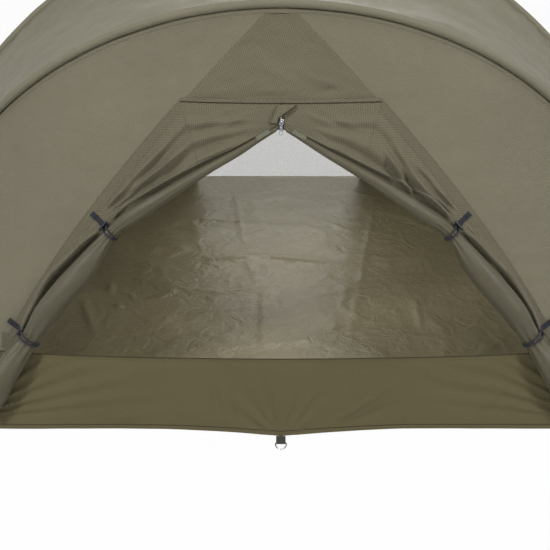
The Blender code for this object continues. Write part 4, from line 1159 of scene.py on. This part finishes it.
def block_parts(base, low, high, soft=0.0004, mark=0):
    """A small box with chamfered edges, in a place's own axes."""
    low = np.array(low, float)
    high = np.array(high, float)
    soft = min(soft, float((high - low).min()) * 0.3)
    verts = []
    for level, inset in ((low[2], soft), (low[2] + soft, 0.0), (high[2] - soft, 0.0), (high[2], soft)):
        (x0, y0), (x1, y1) = low[:2] + inset, high[:2] - inset
        right = [(x1, y0 + soft), (x1, y1 - soft)]
        left = [(x0, y1 - soft), (x0, y0 + soft)]
        ring = [(x0 + soft, y0), (x1 - soft, y0), *right, (x1 - soft, y1), (x0 + soft, y1), *left]
        verts += [(x, y, level) for x, y in ring]
    return local(base, verts), tube_faces(4, 8), mark


def plate_parts(base, outer, inner, low, high):
    """A flat plate with a hole: outer and inner are loops with as many points each, in a place's axes."""
    n = len(outer)
    verts = [(x, y, level) for level in (low, high) for loop in (outer, inner) for x, y in loop]
    faces = []
    for k in range(n):
        m = (k + 1) % n
        faces.append((k, m, n + m, n + k))
        faces.append((2 * n + k, 3 * n + k, 3 * n + m, 2 * n + m))
        faces.append((k, 2 * n + k, 2 * n + m, m))
        faces.append((n + k, n + m, 3 * n + m, 3 * n + k))
    return local(base, verts), faces, 0


def stadium(half, low, high, taper=1.0, count=32):
    """A long loop with round ends, from low to high along the second way, its upper end tapered."""
    found = []
    for k in range(count):
        turn = 2 * math.pi * (k + 0.5) / count
        x = half * math.cos(turn)
        y = half * math.sin(turn)
        if y > 0:
            found.append((x * taper, y * taper + high - half * taper))
        else:
            found.append((x, y + low + half))
    return found


# Places and sizes of the zip's parts. CHAIN_TOP and the plate's levels are heights off the face

SLIDER_FOOT = 0.803
SLIDER_LONG = 0.017
CHAIN_TOP = DOOR_OUT + CLOTH / 2 + 0.0030
PLATE_LOW = CHAIN_TOP + 0.0003
PLATE_TOP = PLATE_LOW + 0.0016
TOOTH_PITCH = 0.0016
ZIP_AXES = face_axes(0.0, SLIDER_FOOT, 0.0)
FLAP_TOP_Z = 0.8545
FLAP_FOOT_Z = 0.8080
FLAP_EDGE = np.array(
    [
        (0.0, 0.041), (0.20, 0.0265), (0.40, 0.0125), (0.58, 0.0010),
        (0.69, -0.0062), (0.80, -0.0088), (1.0, -0.0105),
    ]
)


def build_coil():
    """Both rows of teeth on their tapes, above the foot of the slider."""
    high = DOOR_TOP - HEADER_LAP - 0.0006 - SLIDER_FOOT
    lines = np.linspace(-0.0115, high, 14)
    parts = []
    for side in SIDES.values():
        strip = local(ZIP_AXES, points(side * 0.0078, lines, 0.0))
        edge = local(ZIP_AXES, points(side * 0.0108, lines, 0.0008))
        parts.append(ribbon_parts(strip, ZIP_AXES[3], 0.0105, 0.0006))
        parts.append(stitch_parts(edge, ZIP_AXES[3]))
    for k in range(int(high / TOOTH_PITCH)):
        for side in SIDES.values():
            x0, x1 = sorted((side * 0.0006, side * 0.0029))
            y = (k + max(side, 0) / 2) * TOOTH_PITCH
            top = (x1, y + TOOTH_PITCH * 0.72, CHAIN_TOP)
            parts.append(block_parts(ZIP_AXES, (x0, y, DOOR_OUT), top, 0.0003, 2))
    on_front(merged("door_zip_coil", parts, [zip_tape, thread, nylon]), "zip_tape", "door_zip")


def build_slider():
    """The slider's plate, its two cheeks and the arch that holds the pull."""
    right = [(0.0045, 0.0), (0.0058, 0.003), (0.0062, 0.010), (0.0050, 0.0155), (0.0025, SLIDER_LONG)]
    outline = [(-0.0045, 0.0)] + right + [(-x, y) for x, y in right[:0:-1]]
    mid = SLIDER_LONG / 2
    levels = ((PLATE_LOW, 0.95), (PLATE_LOW + 0.0004, 1.0), (PLATE_TOP - 0.0005, 1.0), (PLATE_TOP, 0.90))
    verts = [(x * share, (y - mid) * share + mid, z) for z, share in levels for x, y in outline]
    parts = [(local(ZIP_AXES, verts), tube_faces(4, len(outline)), 0)]
    for side in SIDES.values():
        x0, x1 = sorted((side * 0.0034, side * 0.0060))
        foot = (x0, 0.001, DOOR_OUT + CLOTH / 2 + 0.0006)
        parts.append(block_parts(ZIP_AXES, foot, (x1, 0.0155, PLATE_LOW + 0.0006), 0.0005))
    turn = np.linspace(0, math.pi, 13)
    rise = 0.0042 * np.maximum(np.sin(turn), 0) ** 0.7
    arch = points(0.0, 0.0089 - 0.0046 * np.cos(turn), PLATE_LOW + 0.0012 + rise)
    parts.append(tube_parts(local(ZIP_AXES, arch), 0.0010, 8))
    on_front(merged("zip_slider_body", parts, [silver], 40), "steel", "zip_slider", body="slider")


def build_pull():
    """The pull: a forked plate on the slider's pin and a longer plate with a grip hole below it."""
    pin = (0.0, SLIDER_LONG * 0.25 + 0.0025, PLATE_TOP + 0.0013)
    hang = (local(ZIP_AXES, pin), *ZIP_AXES[1:])
    long_plate = (stadium(0.0052, -0.0325, -0.0085, 0.74), stadium(0.0036, -0.0310, -0.0212))
    fork = (stadium(0.0033, -0.0112, 0.0011), stadium(0.0018, -0.0073, -0.0004))
    parts = [plate_parts(hang, outer, hole, -0.0006, 0.0006) for outer, hole in (long_plate, fork)]
    parts.append(block_parts(hang, (-0.0017, -0.0172, 0.0006), (0.0017, -0.0098, 0.0010)))
    on_front(merged("zip_pull_tab", parts, [silver], 40), "steel", "zip_pull", body="pull")


def build_zip_flap():
    """The small flap over the top of the zip, lifted off the face, with a row of stitches and a near-black
    strip of painted shadow along its edge.
    """
    rows = np.linspace(0, 1, 25)
    rr, cc = np.meshgrid(rows, np.linspace(0, 1, 29), indexing="ij")
    left_x = -0.0085 - 0.0215 * rr
    right_x = np.interp(rr, *FLAP_EDGE.T)
    x = left_x + (right_x - left_x) * cc
    z = FLAP_TOP_Z + (FLAP_FOOT_Z - FLAP_TOP_Z) * rr + 0.002 * (1 - cc) * rr
    out = 0.0034 + 0.0108 * step(0.0, 0.0052, x - left_x) * step(-0.06, 0.16, rr)
    out = out + 0.0006 * layered(rr * 5, cc * 3, 401, 2)
    grid = front_point(x, z, out)
    flap = cloth("zip_flap", grid, 0.0012, [door, inner], np.stack([x, z], axis=-1))
    share = np.linspace(0.03, 0.97, 30)
    line_x = np.interp(share, *FLAP_EDGE.T) - 0.0030
    # The near-black ribbon along the flap's edge, partly under it: painted shadow.
    painted_shadow_x = line_x + 0.0034
    edge_z = FLAP_TOP_Z + (FLAP_FOOT_Z - FLAP_TOP_Z) * share
    line = front_point(line_x, edge_z, np.interp(share, rows, out[:, -2]) + 0.0006)
    painted_shadow_line = front_point(painted_shadow_x, edge_z, np.interp(share, rows, out[:, -1]) - 0.0014)
    parts = [
        stitch_parts(line, front_normal(line_x, edge_z), mark=0),
        ribbon_parts(painted_shadow_line, front_normal(painted_shadow_x, edge_z), 0.0042, 0.0008, mark=1),
    ]
    sewn = on_front(merged("zip_flap_stitching", parts, [thread, painted_shadow_look]), "wall_cloth")
    on_front(flap, "wall_cloth")


def build_tape_ends():
    """The free ends of the zip's tapes, lying over the tops of the rolls."""
    s = np.linspace(0.012, 0.046, 12)
    here, normal, aim = door_axes(*door_lines(s))
    lean = unit(aim * 0.55 + normal * 0.83)
    hub = here + normal * (door_out(s) + roll_radius(s))[:, None]
    spots = hub + lean * (roll_radius(s) + 0.0012)[:, None]
    for side_name, side in SIDES.items():
        line, ups = spots * (side, 1, 1), lean * (side, 1, 1)
        parts = [ribbon_parts(line, ups, 0.0130, 0.0011, waves=0.3, seed=5), stitch_parts(line, ups)]
        on_front(merged(f"zip_tape_end_{side_name}", parts, [grey_tape, thread]), "zip_tape")


def build_zip():
    build_coil()
    build_slider()
    build_pull()
    build_zip_flap()
    build_tape_ends()


build_zip()

# Toggles


def toggle_base(share, side):
    """Origin and axes at one toggle: outwards across the roll, along it, and off the face."""
    s = np.array([share])
    here, normal, aim = (v[0] for v in door_axes(*door_lines(s)))
    origin = here + normal * (float(door_out(s)[0]) + CLOTH / 2)
    return tuple(v * (side, 1, 1) for v in (origin, aim, np.cross(normal, aim), normal))


WORLD_AXES = (np.zeros(3), *np.eye(3))


def box_stitches(base, x0, x1, y0, y1, z, mark):
    """Rows of small stitches round a rectangle and across it, in a place's own axes."""
    corners = local(base, [(x0, y0, z), (x1, y0, z), (x1, y1, z), (x0, y1, z)])
    pairs = ((0, 1), (1, 2), (2, 3), (3, 0), (0, 2), (1, 3))
    return [stitch_parts(corners[[i, j]], base[3], 0.0020, 0.0028, mark) for i, j in pairs]


# Sizes of a toggle

STRAP_THICK = 0.0014

STRAP_LONG = 0.052

STEM_OFF = 0.0135

BAR_HALF = 0.0168

BAR_R = 0.0034

CORD_R = 0.0023

CORD_OFF = 0.00355

STRANDS_APART = 0.0066

STRANDS_BEHIND = 0.0030


def build_toggle(level, share, side_name, side):
    """One toggle: its webbing strap, the bar on its neck, and the elastic round the roll."""
    base = toggle_base(share, side)
    r = float(roll_radius(np.array([share]))[0])
    stem_at = r + STEM_OFF
    a = stem_at - 0.006 + np.linspace(0, STRAP_LONG, 40)
    lift = LAYER_GAP + 0.0003 * noise2(a * 90, 0, 501 + side)
    folded = local(base, points(a, 0.0, lift + 0.0013))[a > a[-1] - 0.015]
    parts = [
        ribbon_parts(local(base, points(a, 0.0, lift)), base[3], 0.0148, STRAP_THICK),
        ribbon_parts(folded, base[3], 0.0146, 0.0012),
    ]
    parts += box_stitches(base, a[-1] - 0.013, a[-1] - 0.0025, -0.0045, 0.0045, LAYER_GAP + 0.0026, 1)
    strap = merged(f"{level}_toggle_strap_webbing_{side_name}", parts, [navy_web, dark_thread])
    on_front(strap, "strap_webbing", f"{level}_toggle_strap_{side_name}")

    strap_top = LAYER_GAP + STRAP_THICK
    cord_mid = strap_top + 0.00155
    bar_mid = cord_mid + 0.0069
    b = np.linspace(-BAR_HALF, BAR_HALF, 33)
    swell = np.abs(b) / BAR_HALF
    rounding = np.sqrt(np.clip(1 - np.clip((swell - 0.70) / 0.30, 0, 1) ** 2, 0.12, 1))
    radius = (BAR_R + 0.0004 * swell**2) * rounding
    around = np.stack(np.meshgrid(b, np.linspace(0, 0.02, 16), indexing="ij"), axis=-1)
    bar = tube_parts(local(base, points(stem_at, b, bar_mid)), radius[:, None], 16)
    c = np.array([strap_top - 0.0004, strap_top + 0.0010, strap_top + 0.0018, bar_mid])
    neck_r = np.array([[0.0036], [0.0032], [0.0023], [0.0023]])
    parts = [(*bar, around), tube_parts(local(base, points(stem_at, 0.0, c)), neck_r, 14)]
    made = merged(f"{level}_toggle_bar_plastic_{side_name}", parts, [toggle_plastic])
    on_front(made, "toggle_plastic", f"{level}_toggle_bar_{side_name}", body=f"{level}_bar_{side_name}")

    wrap = r + CORD_OFF
    hub = r - CLOTH
    low_turn = -math.asin(min(0.95, (hub - cord_mid) / wrap))
    turn = np.linspace(math.radians(200), low_turn, 26)
    spread = (STRANDS_APART - STRANDS_BEHIND) * step(math.radians(190), math.radians(20), turn)
    strand = points(wrap * np.cos(turn), STRANDS_BEHIND + spread, hub + wrap * np.sin(turn))
    bend = np.linspace(math.pi / 2, -math.pi / 2, 9)
    bend_a = stem_at + 0.0004 + STRANDS_APART * np.cos(bend)
    round_neck = points(bend_a, STRANDS_APART * np.sin(bend), cord_mid + 0.0004)
    spots = np.concatenate([strand, round_neck, strand[::-1] * (1, -1, 1)])
    keep = np.concatenate([[True], np.linalg.norm(np.diff(spots, axis=0), axis=1) > 0.0008])
    path = local(base, curve_through(spots[keep], 4))
    loop = rod(f"{level}_toggle_loop_elastic_{side_name}", path, CORD_R, 10, elastic)
    on_front(loop, "elastic_cord", f"{level}_toggle_loop_{side_name}")


for side_name, side in SIDES.items():
    for level, share in TOGGLES.items():
        build_toggle(level, share, side_name, side)

# The tab and ring at the middle of the hem

# Sizes of the tab and the ring

TAB_LIFT = 0.0006

EYE_R = 0.0021

WEB_THICK = 0.0012

RING_WIRE = 0.0017

RING_DEEP = 0.030


def build_tab():
    """The webbing tab under the hem, sewn down in a box, and the ring in its eye."""
    hem_y = float(front_y(np.array(0.0), np.array(HEM_Z))) - CLOTH / 2 - GAP
    eye_z = TAB_LIFT + EYE_R + WEB_THICK
    eye_y = hem_y - 0.036 + EYE_R + WEB_THICK
    mid = EYE_R + 0.0005
    turn = -math.pi / 2 - np.linspace(0, math.pi, 13)
    eye = np.stack([eye_y + mid * np.cos(turn), eye_z + mid * np.sin(turn)], axis=-1)
    low = [(y, TAB_LIFT + WEB_THICK / 2) for y in (hem_y, eye_y + 0.012, eye_y + 0.004)]
    back = [(eye_y + 0.004, eye_z + WEB_THICK), (eye_y + 0.009, TAB_LIFT + 0.0026)]
    back += [(eye_y + 0.014, TAB_LIFT + 0.0018), (hem_y, TAB_LIFT + 0.0018)]
    profile = curve_through([*low, *eye, *back], 3)
    grid = points(np.linspace(-0.013, 0.013, 13), profile[:, :1], profile[:, 1:])
    made = cloth("hem_tab_webbing", grid, 0.0011, [tab_web])
    parts = box_stitches(WORLD_AXES, -0.0095, 0.0095, hem_y - 0.004, hem_y - 0.017, TAB_LIFT + 0.0024, 0)
    on_front(merged("hem_tab_stitching", parts, [thread]), "tab_webbing")
    on_front(made, "tab_webbing", "hem_tab")

    half = 0.0165 - RING_WIRE
    corner = 0.004
    long = RING_DEEP - 2 * RING_WIRE - corner
    straight = np.linspace(-half + 0.002, half - 0.002, 8)
    turn = np.linspace(0, math.pi, 41)
    loop_x = np.concatenate([straight, half * np.cos(turn)])
    deep = np.concatenate([0 * straight, corner + long * np.sin(turn)])
    fall = (eye_z - RING_WIRE - TAB_LIFT) / RING_DEEP
    path = points(loop_x, eye_y - deep, eye_z - fall * deep)
    way = unit(np.roll(path, -1, axis=0) - np.roll(path, 1, axis=0))
    across = unit(np.cross(way, (0.0, fall, 1.0)))
    sides, n = 14, len(path)
    rings = ringed(path, across, np.cross(across, way), RING_WIRE, turns_of(sides))
    last = (n - 1) * sides
    closing = [(last + k, last + (k + 1) % sides, (k + 1) % sides, k) for k in range(sides)]
    faces = grid_faces(n, sides, wrap=True).tolist() + closing
    made = finish_mesh("hem_ring_wire", rings.reshape(-1, 3), faces, [steel], np.zeros((n * sides, 2)))
    on_front(made, "steel", "hem_ring", body="ring")


build_tab()

# The rear wall, its window and the rolled storm flap


def window_line():
    """The rear window's right edge from the floor to its top."""
    foot, head, head_z, crown = 0.390, 0.295, 0.480, 0.100
    share = np.linspace(0, 1, 9)
    low = np.stack([foot + (head - foot) * share, HEM_Z + (head_z - HEM_Z) * share], axis=-1)
    turn = np.linspace(0, math.pi / 2, 20)[1:]
    high = np.stack([crown + (head - crown) * np.cos(turn), head_z + 0.160 * np.sin(turn)], axis=-1)
    return np.concatenate([low, high])


def on_rear(made, slot, *nodes):
    return fan(made, "base", "rear_frame", slot, *nodes)


def rear_axes(x, z, out):
    """Places off the rear wall, with its normals and the ways up it."""
    up = unit(rear_point(x, z + 0.01) - rear_point(x, z))
    return rear_point(x, z, out), face_normal(rear_y, x, z, 1), up


# The rear window's corners, and the storm flap's roll above it

WINDOW_CORNERS = ((-0.39, 0.0), (0.39, 0.0), (-0.29, 0.48), (0.29, 0.48))

STORM_Z = 0.692

STORM_R = 0.024

STORM_HALF = 0.300

STORM_BORE = STORM_R + LAYER_GAP

STORM_STAND = CLOTH / 2 + 0.0015 + STORM_BORE + GAP

STORM_TURNS = 2.3

TIE_X = 0.170


def build_rear_wall():
    right = window_line()
    arch = np.concatenate([right * (-1, 1), right[::-1]])
    end = float(REAR.angle_across(REAR_END_X, REAR_EDGE))
    rim = REAR.at(np.linspace(-end, end, 121), REAR_EDGE)[:, (0, 2)]
    rim = np.concatenate([[(-REAR_END_X, HEM_Z)], rim, [(REAR_END_X, HEM_Z)]])
    share = np.linspace(0, 1, 181)
    inside = at_share(arch, share)
    outside = at_share(rim, share)
    w = clustered(40, 0.012, 0.6)
    spot = inside[:, None] + (outside - inside)[:, None] * w[:, None]
    x, z = spot[..., 0], spot[..., 1]
    width = np.linalg.norm(outside - inside, axis=1)[:, None]
    out = 0.0045 * layered(x * 3 + 4, z * 3, 601)
    for corner_x, corner_z in WINDOW_CORNERS:
        out = out + 0.0030 * rays(x - corner_x, z - corner_z, 9, 0.14, 605)[0]
    out = out * step(0.012, 0.10, np.minimum(w, 1 - w) * width) * step(0.0, 0.05, z)
    uv = np.stack([x, z * 1.2], axis=-1)
    wall = cloth("rear_wall_cloth", rear_point(x, z, out), 0.0009, [inner, canopy], uv)
    arch_x, arch_z = at_share(arch, np.linspace(0.0, 1.0, 220)).T
    line = rear_point(arch_x, np.maximum(arch_z, HEM_Z + 0.001), 0.0006)
    normals = face_normal(rear_y, arch_x, arch_z, 1)
    binding = seam("rear_window_binding", line, normals, 0.020, 0.0012, [tape, thread], (-0.36, 0.36))
    on_rear(binding, "wall_cloth")
    area(rear_point(x, z))
    on_rear(wall, "wall_cloth", "rear_wall")

    rows = at_share(right, np.linspace(0, 1, 61))
    edge, level = rows[:, :1], rows[:, 1:]
    x = (edge - 0.0006) * np.linspace(-1, 1, 61)
    z = (level - HEM_Z) * (1 - 0.0006 / 0.480) + HEM_Z + 0 * x
    calm = step(0, 0.05, edge - np.abs(x)) * step(0, 0.05, z) * step(0.64, 0.58, z)
    net_grid = rear_point(x, z, 0.0025 * layered(x * 4, z * 4, 611, 2) * calm)
    net = cloth("rear_window_netting", net_grid, 0.0005, [mesh_look], np.stack([x, z * 1.2], axis=-1))
    on_rear(net, "window_mesh", "rear_window_mesh")


def build_storm_flap():
    """The storm flap rolled up above the rear window."""
    x = np.linspace(-STORM_HALF, STORM_HALF, 121)
    centre, normal, up = rear_axes(x, STORM_Z, STORM_STAND)
    t = np.linspace(0, STORM_TURNS, 96)
    turn = math.pi + 2 * math.pi * t
    xx = x[:, None]
    near = bell((np.abs(xx) - TIE_X) / 0.035)
    fine = hump(7 * turn + 2 * noise2(xx * 12, np.cos(turn), 621)) ** 1.3
    broad = hump(2 * turn + 9 * xx + 2 * noise2(xx * 7, 0, 622))
    size = STORM_R * (1 - 0.15 * np.maximum(0, t - 0.35))
    size = size * (1 - 0.15 * near * fine - 0.06 * (1 - near) * broad)
    ring = ringed(centre, normal, up, size, turn)
    rise = np.linspace(0.052, 0.004, 10)
    flat_x, flat_z = np.meshgrid(x, STORM_Z + rise, indexing="ij")
    flat_out = 0.0014 + 0.0018 * (1 - rise / 0.052) + 0.0004 * layered(flat_x * 30, flat_z * 20, 625, 2)
    grid = np.concatenate([rear_point(flat_x, flat_z, flat_out), ring], axis=1)
    flap = cloth("rear_storm_flap_roll", grid, 0.0007, [canopy, satin])
    x = np.linspace(-STORM_HALF, STORM_HALF, 90)
    line, normals, _ = rear_axes(x, STORM_Z + 0.050, 0.0022)
    sewn = seam("rear_storm_flap_seam", line, normals, 0.011, 0.0010, [tape, thread], (-0.3, 0.3))
    on_rear(sewn, "wall_cloth")
    on_rear(flap, "wall_cloth", "rear_window_flap")


def build_flap_tie(side_name, side):
    x = side * TIE_X + np.linspace(-0.009, 0.009, 5)
    mids, normal, up = rear_axes(x, STORM_Z, STORM_STAND)
    reach = STORM_BORE + 0.00075
    band = ringed(mids, normal, up, reach, turns_of(40))
    tie = cloth(f"rear_flap_tie_webbing_{side_name}", band, 0.0013, [navy_web], wrap=True)
    on_rear(tie, "strap_webbing", f"rear_flap_tie_{side_name}")
    tail = np.linspace(0, 1, 14)
    off = (reach + 0.0016 + 0.004 * np.sin(tail * 3))[:, None]
    line = mids[2] + normal[2] * off + np.outer(tail, (side * 0.004, 0.002, -0.040))
    parts = [ribbon_parts(line, normal[2], 0.013, 0.0013)]
    on_rear(merged(f"rear_flap_tie_tail_{side_name}", parts, [navy_web]), "strap_webbing")


def build_rear():
    build_rear_wall()
    build_storm_flap()
    for side_name, side in SIDES.items():
        build_flap_tie(side_name, side)


build_rear()

# Hoop sleeves and canopy


def beside(hoop, angle, towards):
    """Points beside the hoop's sleeve at angle, on the side that faces towards."""
    here = hoop.at(angle)
    tangent = unit(hoop.at(angle + 0.001) - hoop.at(angle - 0.001))
    way = towards - here
    way = unit(way - tangent * (way * tangent).sum(axis=-1, keepdims=True))
    return here, way


def build_sleeve(name, hoop):
    last = hoop.angle_at(SLEEVE_FOOT)
    angle = np.linspace(-last, last, 361)
    sides = 22
    aa, turn = angle[:, None], turns_of(sides)
    lump = noise2(aa * 9, np.cos(turn) * 1.2, 71) + 0.5 * noise2(aa * 26, np.sin(turn) * 1.5, 72)
    pucker = 0.5 * np.sin(aa * 300 + 3 * noise2(aa * 12, 0, 73)) * np.exp(-(np.sin(turn / 2) ** 2) / 0.25)
    size = SLEEVE_R + 0.0003 + 0.0007 * lump + 0.0003 * pucker
    rings = tube_rings(hoop.at(angle), size, sides, aside=hoop.out)
    made = cloth(f"{name}_pole_sleeve_cloth", rings, 0.0007, [canopy], wrap=True)
    on_body(made, f"{name}_frame", "canopy_cloth", f"{name}_pole_sleeve")


def build_canopy(name, hoop_a, hoop_b, low, high, seed):
    share = np.linspace(-1, 1, 241)
    angle_a = share * hoop_a.angle_at(PANEL_FOOT)
    angle_b = share * hoop_b.angle_at(PANEL_FOOT)
    here_a, way_a = beside(hoop_a, angle_a, hoop_b.at(angle_b))
    here_b, way_b = beside(hoop_b, angle_b, hoop_a.at(angle_a))
    a = here_a + way_a * EDGE
    b = here_b + way_b * EDGE
    inward = unit(np.array((0, PIVOT_BACK, 0)) - (a + b) / 2)
    v = clustered(34, 0.012, 0.5)
    ss = share[:, None]
    near = np.minimum(v, 1 - v) * np.linalg.norm(b - a, axis=1)[:, None]
    deep = CANOPY_SAG * 4 * v * (1 - v) * (1 - ss**2)
    deep = deep + 0.0065 * layered(ss * 7, v * 3, seed) * step(0.0, 0.05, near)
    feet = np.abs(ss) ** 6 * np.cos(2 * np.pi * (2.0 * v + 0.3 * noise2(ss * 8, v, seed + 5)))
    deep = deep + 0.0050 * feet * step(0, 0.03, near)
    puckers = np.sin(ss * 190 + 3 * noise2(ss * 20, v, seed + 6)) * np.exp(-near / 0.035)
    deep = deep + 0.0012 * puckers * step(0, 0.01, near)
    grid = a[:, None] * (1 - v)[:, None] + b[:, None] * v[:, None] + inward[:, None] * deep[..., None]
    made = cloth(f"{name}_cloth", grid, 0.0009, [canopy, inner])
    fan(made, low, high, "canopy_cloth", name)


for name, hoop in HOOPS.items():
    build_sleeve(name, hoop)
build_canopy("canopy_front", FRONT, MID, "middle_frame", "front_frame", 300)
build_canopy("canopy_rear", MID, REAR, "rear_frame", "middle_frame", 330)


def canopy_seam(label, hoop, other, low, high):
    """The sewn edge of a canopy panel along a hoop."""
    share = np.linspace(-0.985, 0.985, 420)
    towards = other.at(share * other.angle_at(PANEL_FOOT))
    here, way = beside(hoop, share * hoop.angle_at(PANEL_FOOT), towards)
    inward = unit(np.array((0, PIVOT_BACK, 0)) - here)
    normal = unit(np.cross(unit(np.gradient(here, axis=0)), way))
    normal = normal * np.where((normal * inward).sum(axis=1, keepdims=True) > 0, -1.0, 1.0)
    sag = (CANOPY_SAG * 0.08 * (1 - share**2))[:, None]
    line = here + way * (EDGE + 0.0068) + normal * 0.0004 + inward * sag
    made = seam(f"{label}_canopy_seam", line, normal, 0.013, 0.0010, [canopy, thread], (-0.25, 0.25))
    fan(made, low, high, "canopy_cloth")


def arch_seam():
    """The sewn edge of the front face along its hoop."""
    x = np.linspace(-SIDE_END_X + 0.03, SIDE_END_X - 0.03, 460)
    inset = FACE_EDGE + 0.0072
    spot = FRONT.at(FRONT.angle_across(x, inset), inset)
    keep = spot[:, 2] > 0.13
    x, z = x[keep], spot[keep][:, 2]
    line = front_point(x, z, 0.0005)
    looks = [panel, thread]
    made = seam("front_face_arch_seam", line, front_normal(x, z), 0.013, 0.0010, looks, (-0.25, 0.25))
    on_front(made, "wall_cloth")


def door_stitching(side_name, side):
    """Two rows along the door half's outer hem and one along its top."""
    s = np.linspace(CORNER_SHARE + 0.005, FOOT_SHARE, 300)
    middle, _, outer = door_lines(s)
    width = np.linalg.norm(middle - outer, axis=-1)[:, None]
    normal = front_normal(middle[:, 0], middle[:, 1]) * (side, 1, 1)
    parts = []
    for d in (0.0028, 0.0245):
        x, z = (outer + (middle - outer) * d / width).T
        parts.append(stitch_parts(front_point(x, z, door_out(s) + 0.0012) * (side, 1, 1), normal, mark=0))
    on_front(merged(f"door_hem_stitching_{side_name}", parts, [thread]), "wall_cloth")
    x = np.linspace(0.006, DOOR_CORNER_X + 0.008, 90) * side
    z = DOOR_TOP - 0.0025
    parts = [stitch_parts(front_point(x, z, DOOR_OUT + 0.0008), front_normal(x, z), mark=0)]
    on_front(merged(f"door_top_stitching_{side_name}", parts, [thread]), "wall_cloth")


def build_hoop_seams():
    """Sewn edges along the hoops, on the canopy panels and on the front face."""
    canopy_seam("front", FRONT, MID, "middle_frame", "front_frame")
    canopy_seam("middle_fore", MID, FRONT, "middle_frame", "front_frame")
    canopy_seam("middle_aft", MID, REAR, "rear_frame", "middle_frame")
    canopy_seam("rear", REAR, MID, "rear_frame", "middle_frame")
    arch_seam()
    for side_name, side in SIDES.items():
        door_stitching(side_name, side)


build_hoop_seams()

# The parts that stay from the frame: better materials only

for name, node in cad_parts.items():
    look = None
    if "_hoop_rod_" in name:
        look = rod_coat
    elif "_socket_" in name or name.startswith("pivot_block"):
        look = nylon
    elif name.startswith(("pivot_bolt", "pivot_nut")) or "_ferrule" in name:
        look = steel
    if look is not None:
        if not node.material_slots:
            node.data.materials.append(look)
        for held in node.material_slots:
            held.material = look

# Camera, floor and light

camera = bpy.data.cameras.new("camera")
camera.sensor_width = 36.0
camera.lens = 60.4
eye = bpy.data.objects.new("camera", camera)
eye.location = (-0.016, -2.10, 1.540)
eye.rotation_euler = (math.radians(63.25), 0, 0)
bpy.context.scene.collection.objects.link(eye)
bpy.context.scene.camera = eye
bpy.context.scene.view_settings.view_transform = "Standard"


def seen_directly(tree):
    """1 for camera, glossy and transmission rays."""
    rays_of = add_node(tree, "ShaderNodeLightPath").outputs
    total = rays_of["Is Camera Ray"]
    for name in ("Is Glossy Ray", "Is Transmission Ray"):
        both = {0: total, 1: rays_of[name]}
        total = add_node(tree, "ShaderNodeMath", both, operation="ADD", use_clamp=True).outputs[0]
    return total


def build_floor():
    look = Look("floor", 0.9, Base_Color=(0.84, 0.84, 0.83, 1))
    glow = look.node("ShaderNodeEmission", {"Strength": 1.0})
    share = look.math("MULTIPLY", seen_directly(look.tree), 0.96)
    mixed = look.node("ShaderNodeMixShader", {0: share, 1: look.shader.outputs[0], 2: glow.outputs[0]})
    look.tree.links.new(mixed.outputs[0], look.tree.nodes["Material Output"].inputs["Surface"])
    size, level = 25.0, -0.0006
    mesh = bpy.data.meshes.new("floor")
    corners = [(-size, -size, level), (size, -size, level), (size, size, level), (-size, size, level)]
    mesh.from_pydata(corners, [], [(0, 1, 2, 3)])
    mesh.materials.append(look.material)
    made = bpy.data.objects.new("floor", mesh)
    bpy.context.scene.collection.objects.link(made)


def build_world():
    world = bpy.data.worlds.new("studio")
    world.use_nodes = True
    bpy.context.scene.world = world
    tree = world.node_tree
    base = tree.nodes["Background"]
    base.inputs["Color"].default_value = (1, 1, 1, 1)
    base.inputs["Strength"].default_value = 0.16
    bright = add_node(tree, "ShaderNodeBackground", {"Color": (1, 1, 1, 1), "Strength": 1.0})
    both = {0: seen_directly(tree), 1: base.outputs[0], 2: bright.outputs[0]}
    mixed = add_node(tree, "ShaderNodeMixShader", both)
    tree.links.new(mixed.outputs[0], tree.nodes["World Output"].inputs["Surface"])


def lamp(name, place, aim, size, watts):
    made = bpy.data.lights.new(name, "AREA")
    made.shape = "DISK"
    made.size = size
    made.energy = watts
    holder = bpy.data.objects.new(name, made)
    holder.location = place
    way = np.array(place, float) - np.array(aim, float)
    pitch = math.atan2(math.hypot(way[0], way[1]), way[2])
    holder.rotation_euler = (pitch, 0, math.atan2(way[1], way[0]) + math.pi / 2)
    bpy.context.scene.collection.objects.link(holder)


build_floor()
build_world()
lamp("key", (-2.7, -2.2, 3.2), (0, 0.3, 0.4), 0.7, 84)
lamp("fill", (3.0, -2.0, 2.9), (0, 0.3, 0.4), 0.9, 71)
lamp("front", (0.1, -4.4, 4.6), (0, 0.6, 0.1), 1.0, 30)
lamp("top", (0.6, -0.4, 5.0), (0, 0.6, 0.5), 2.0, 45)
lamp("back", (0.4, 4.8, 3.2), (0, 0.9, 0.6), 2.4, 60)
lamp("inside", (0.08, 1.00, 0.90), (0.08, 1.05, 0.0), 0.5, 3.8)
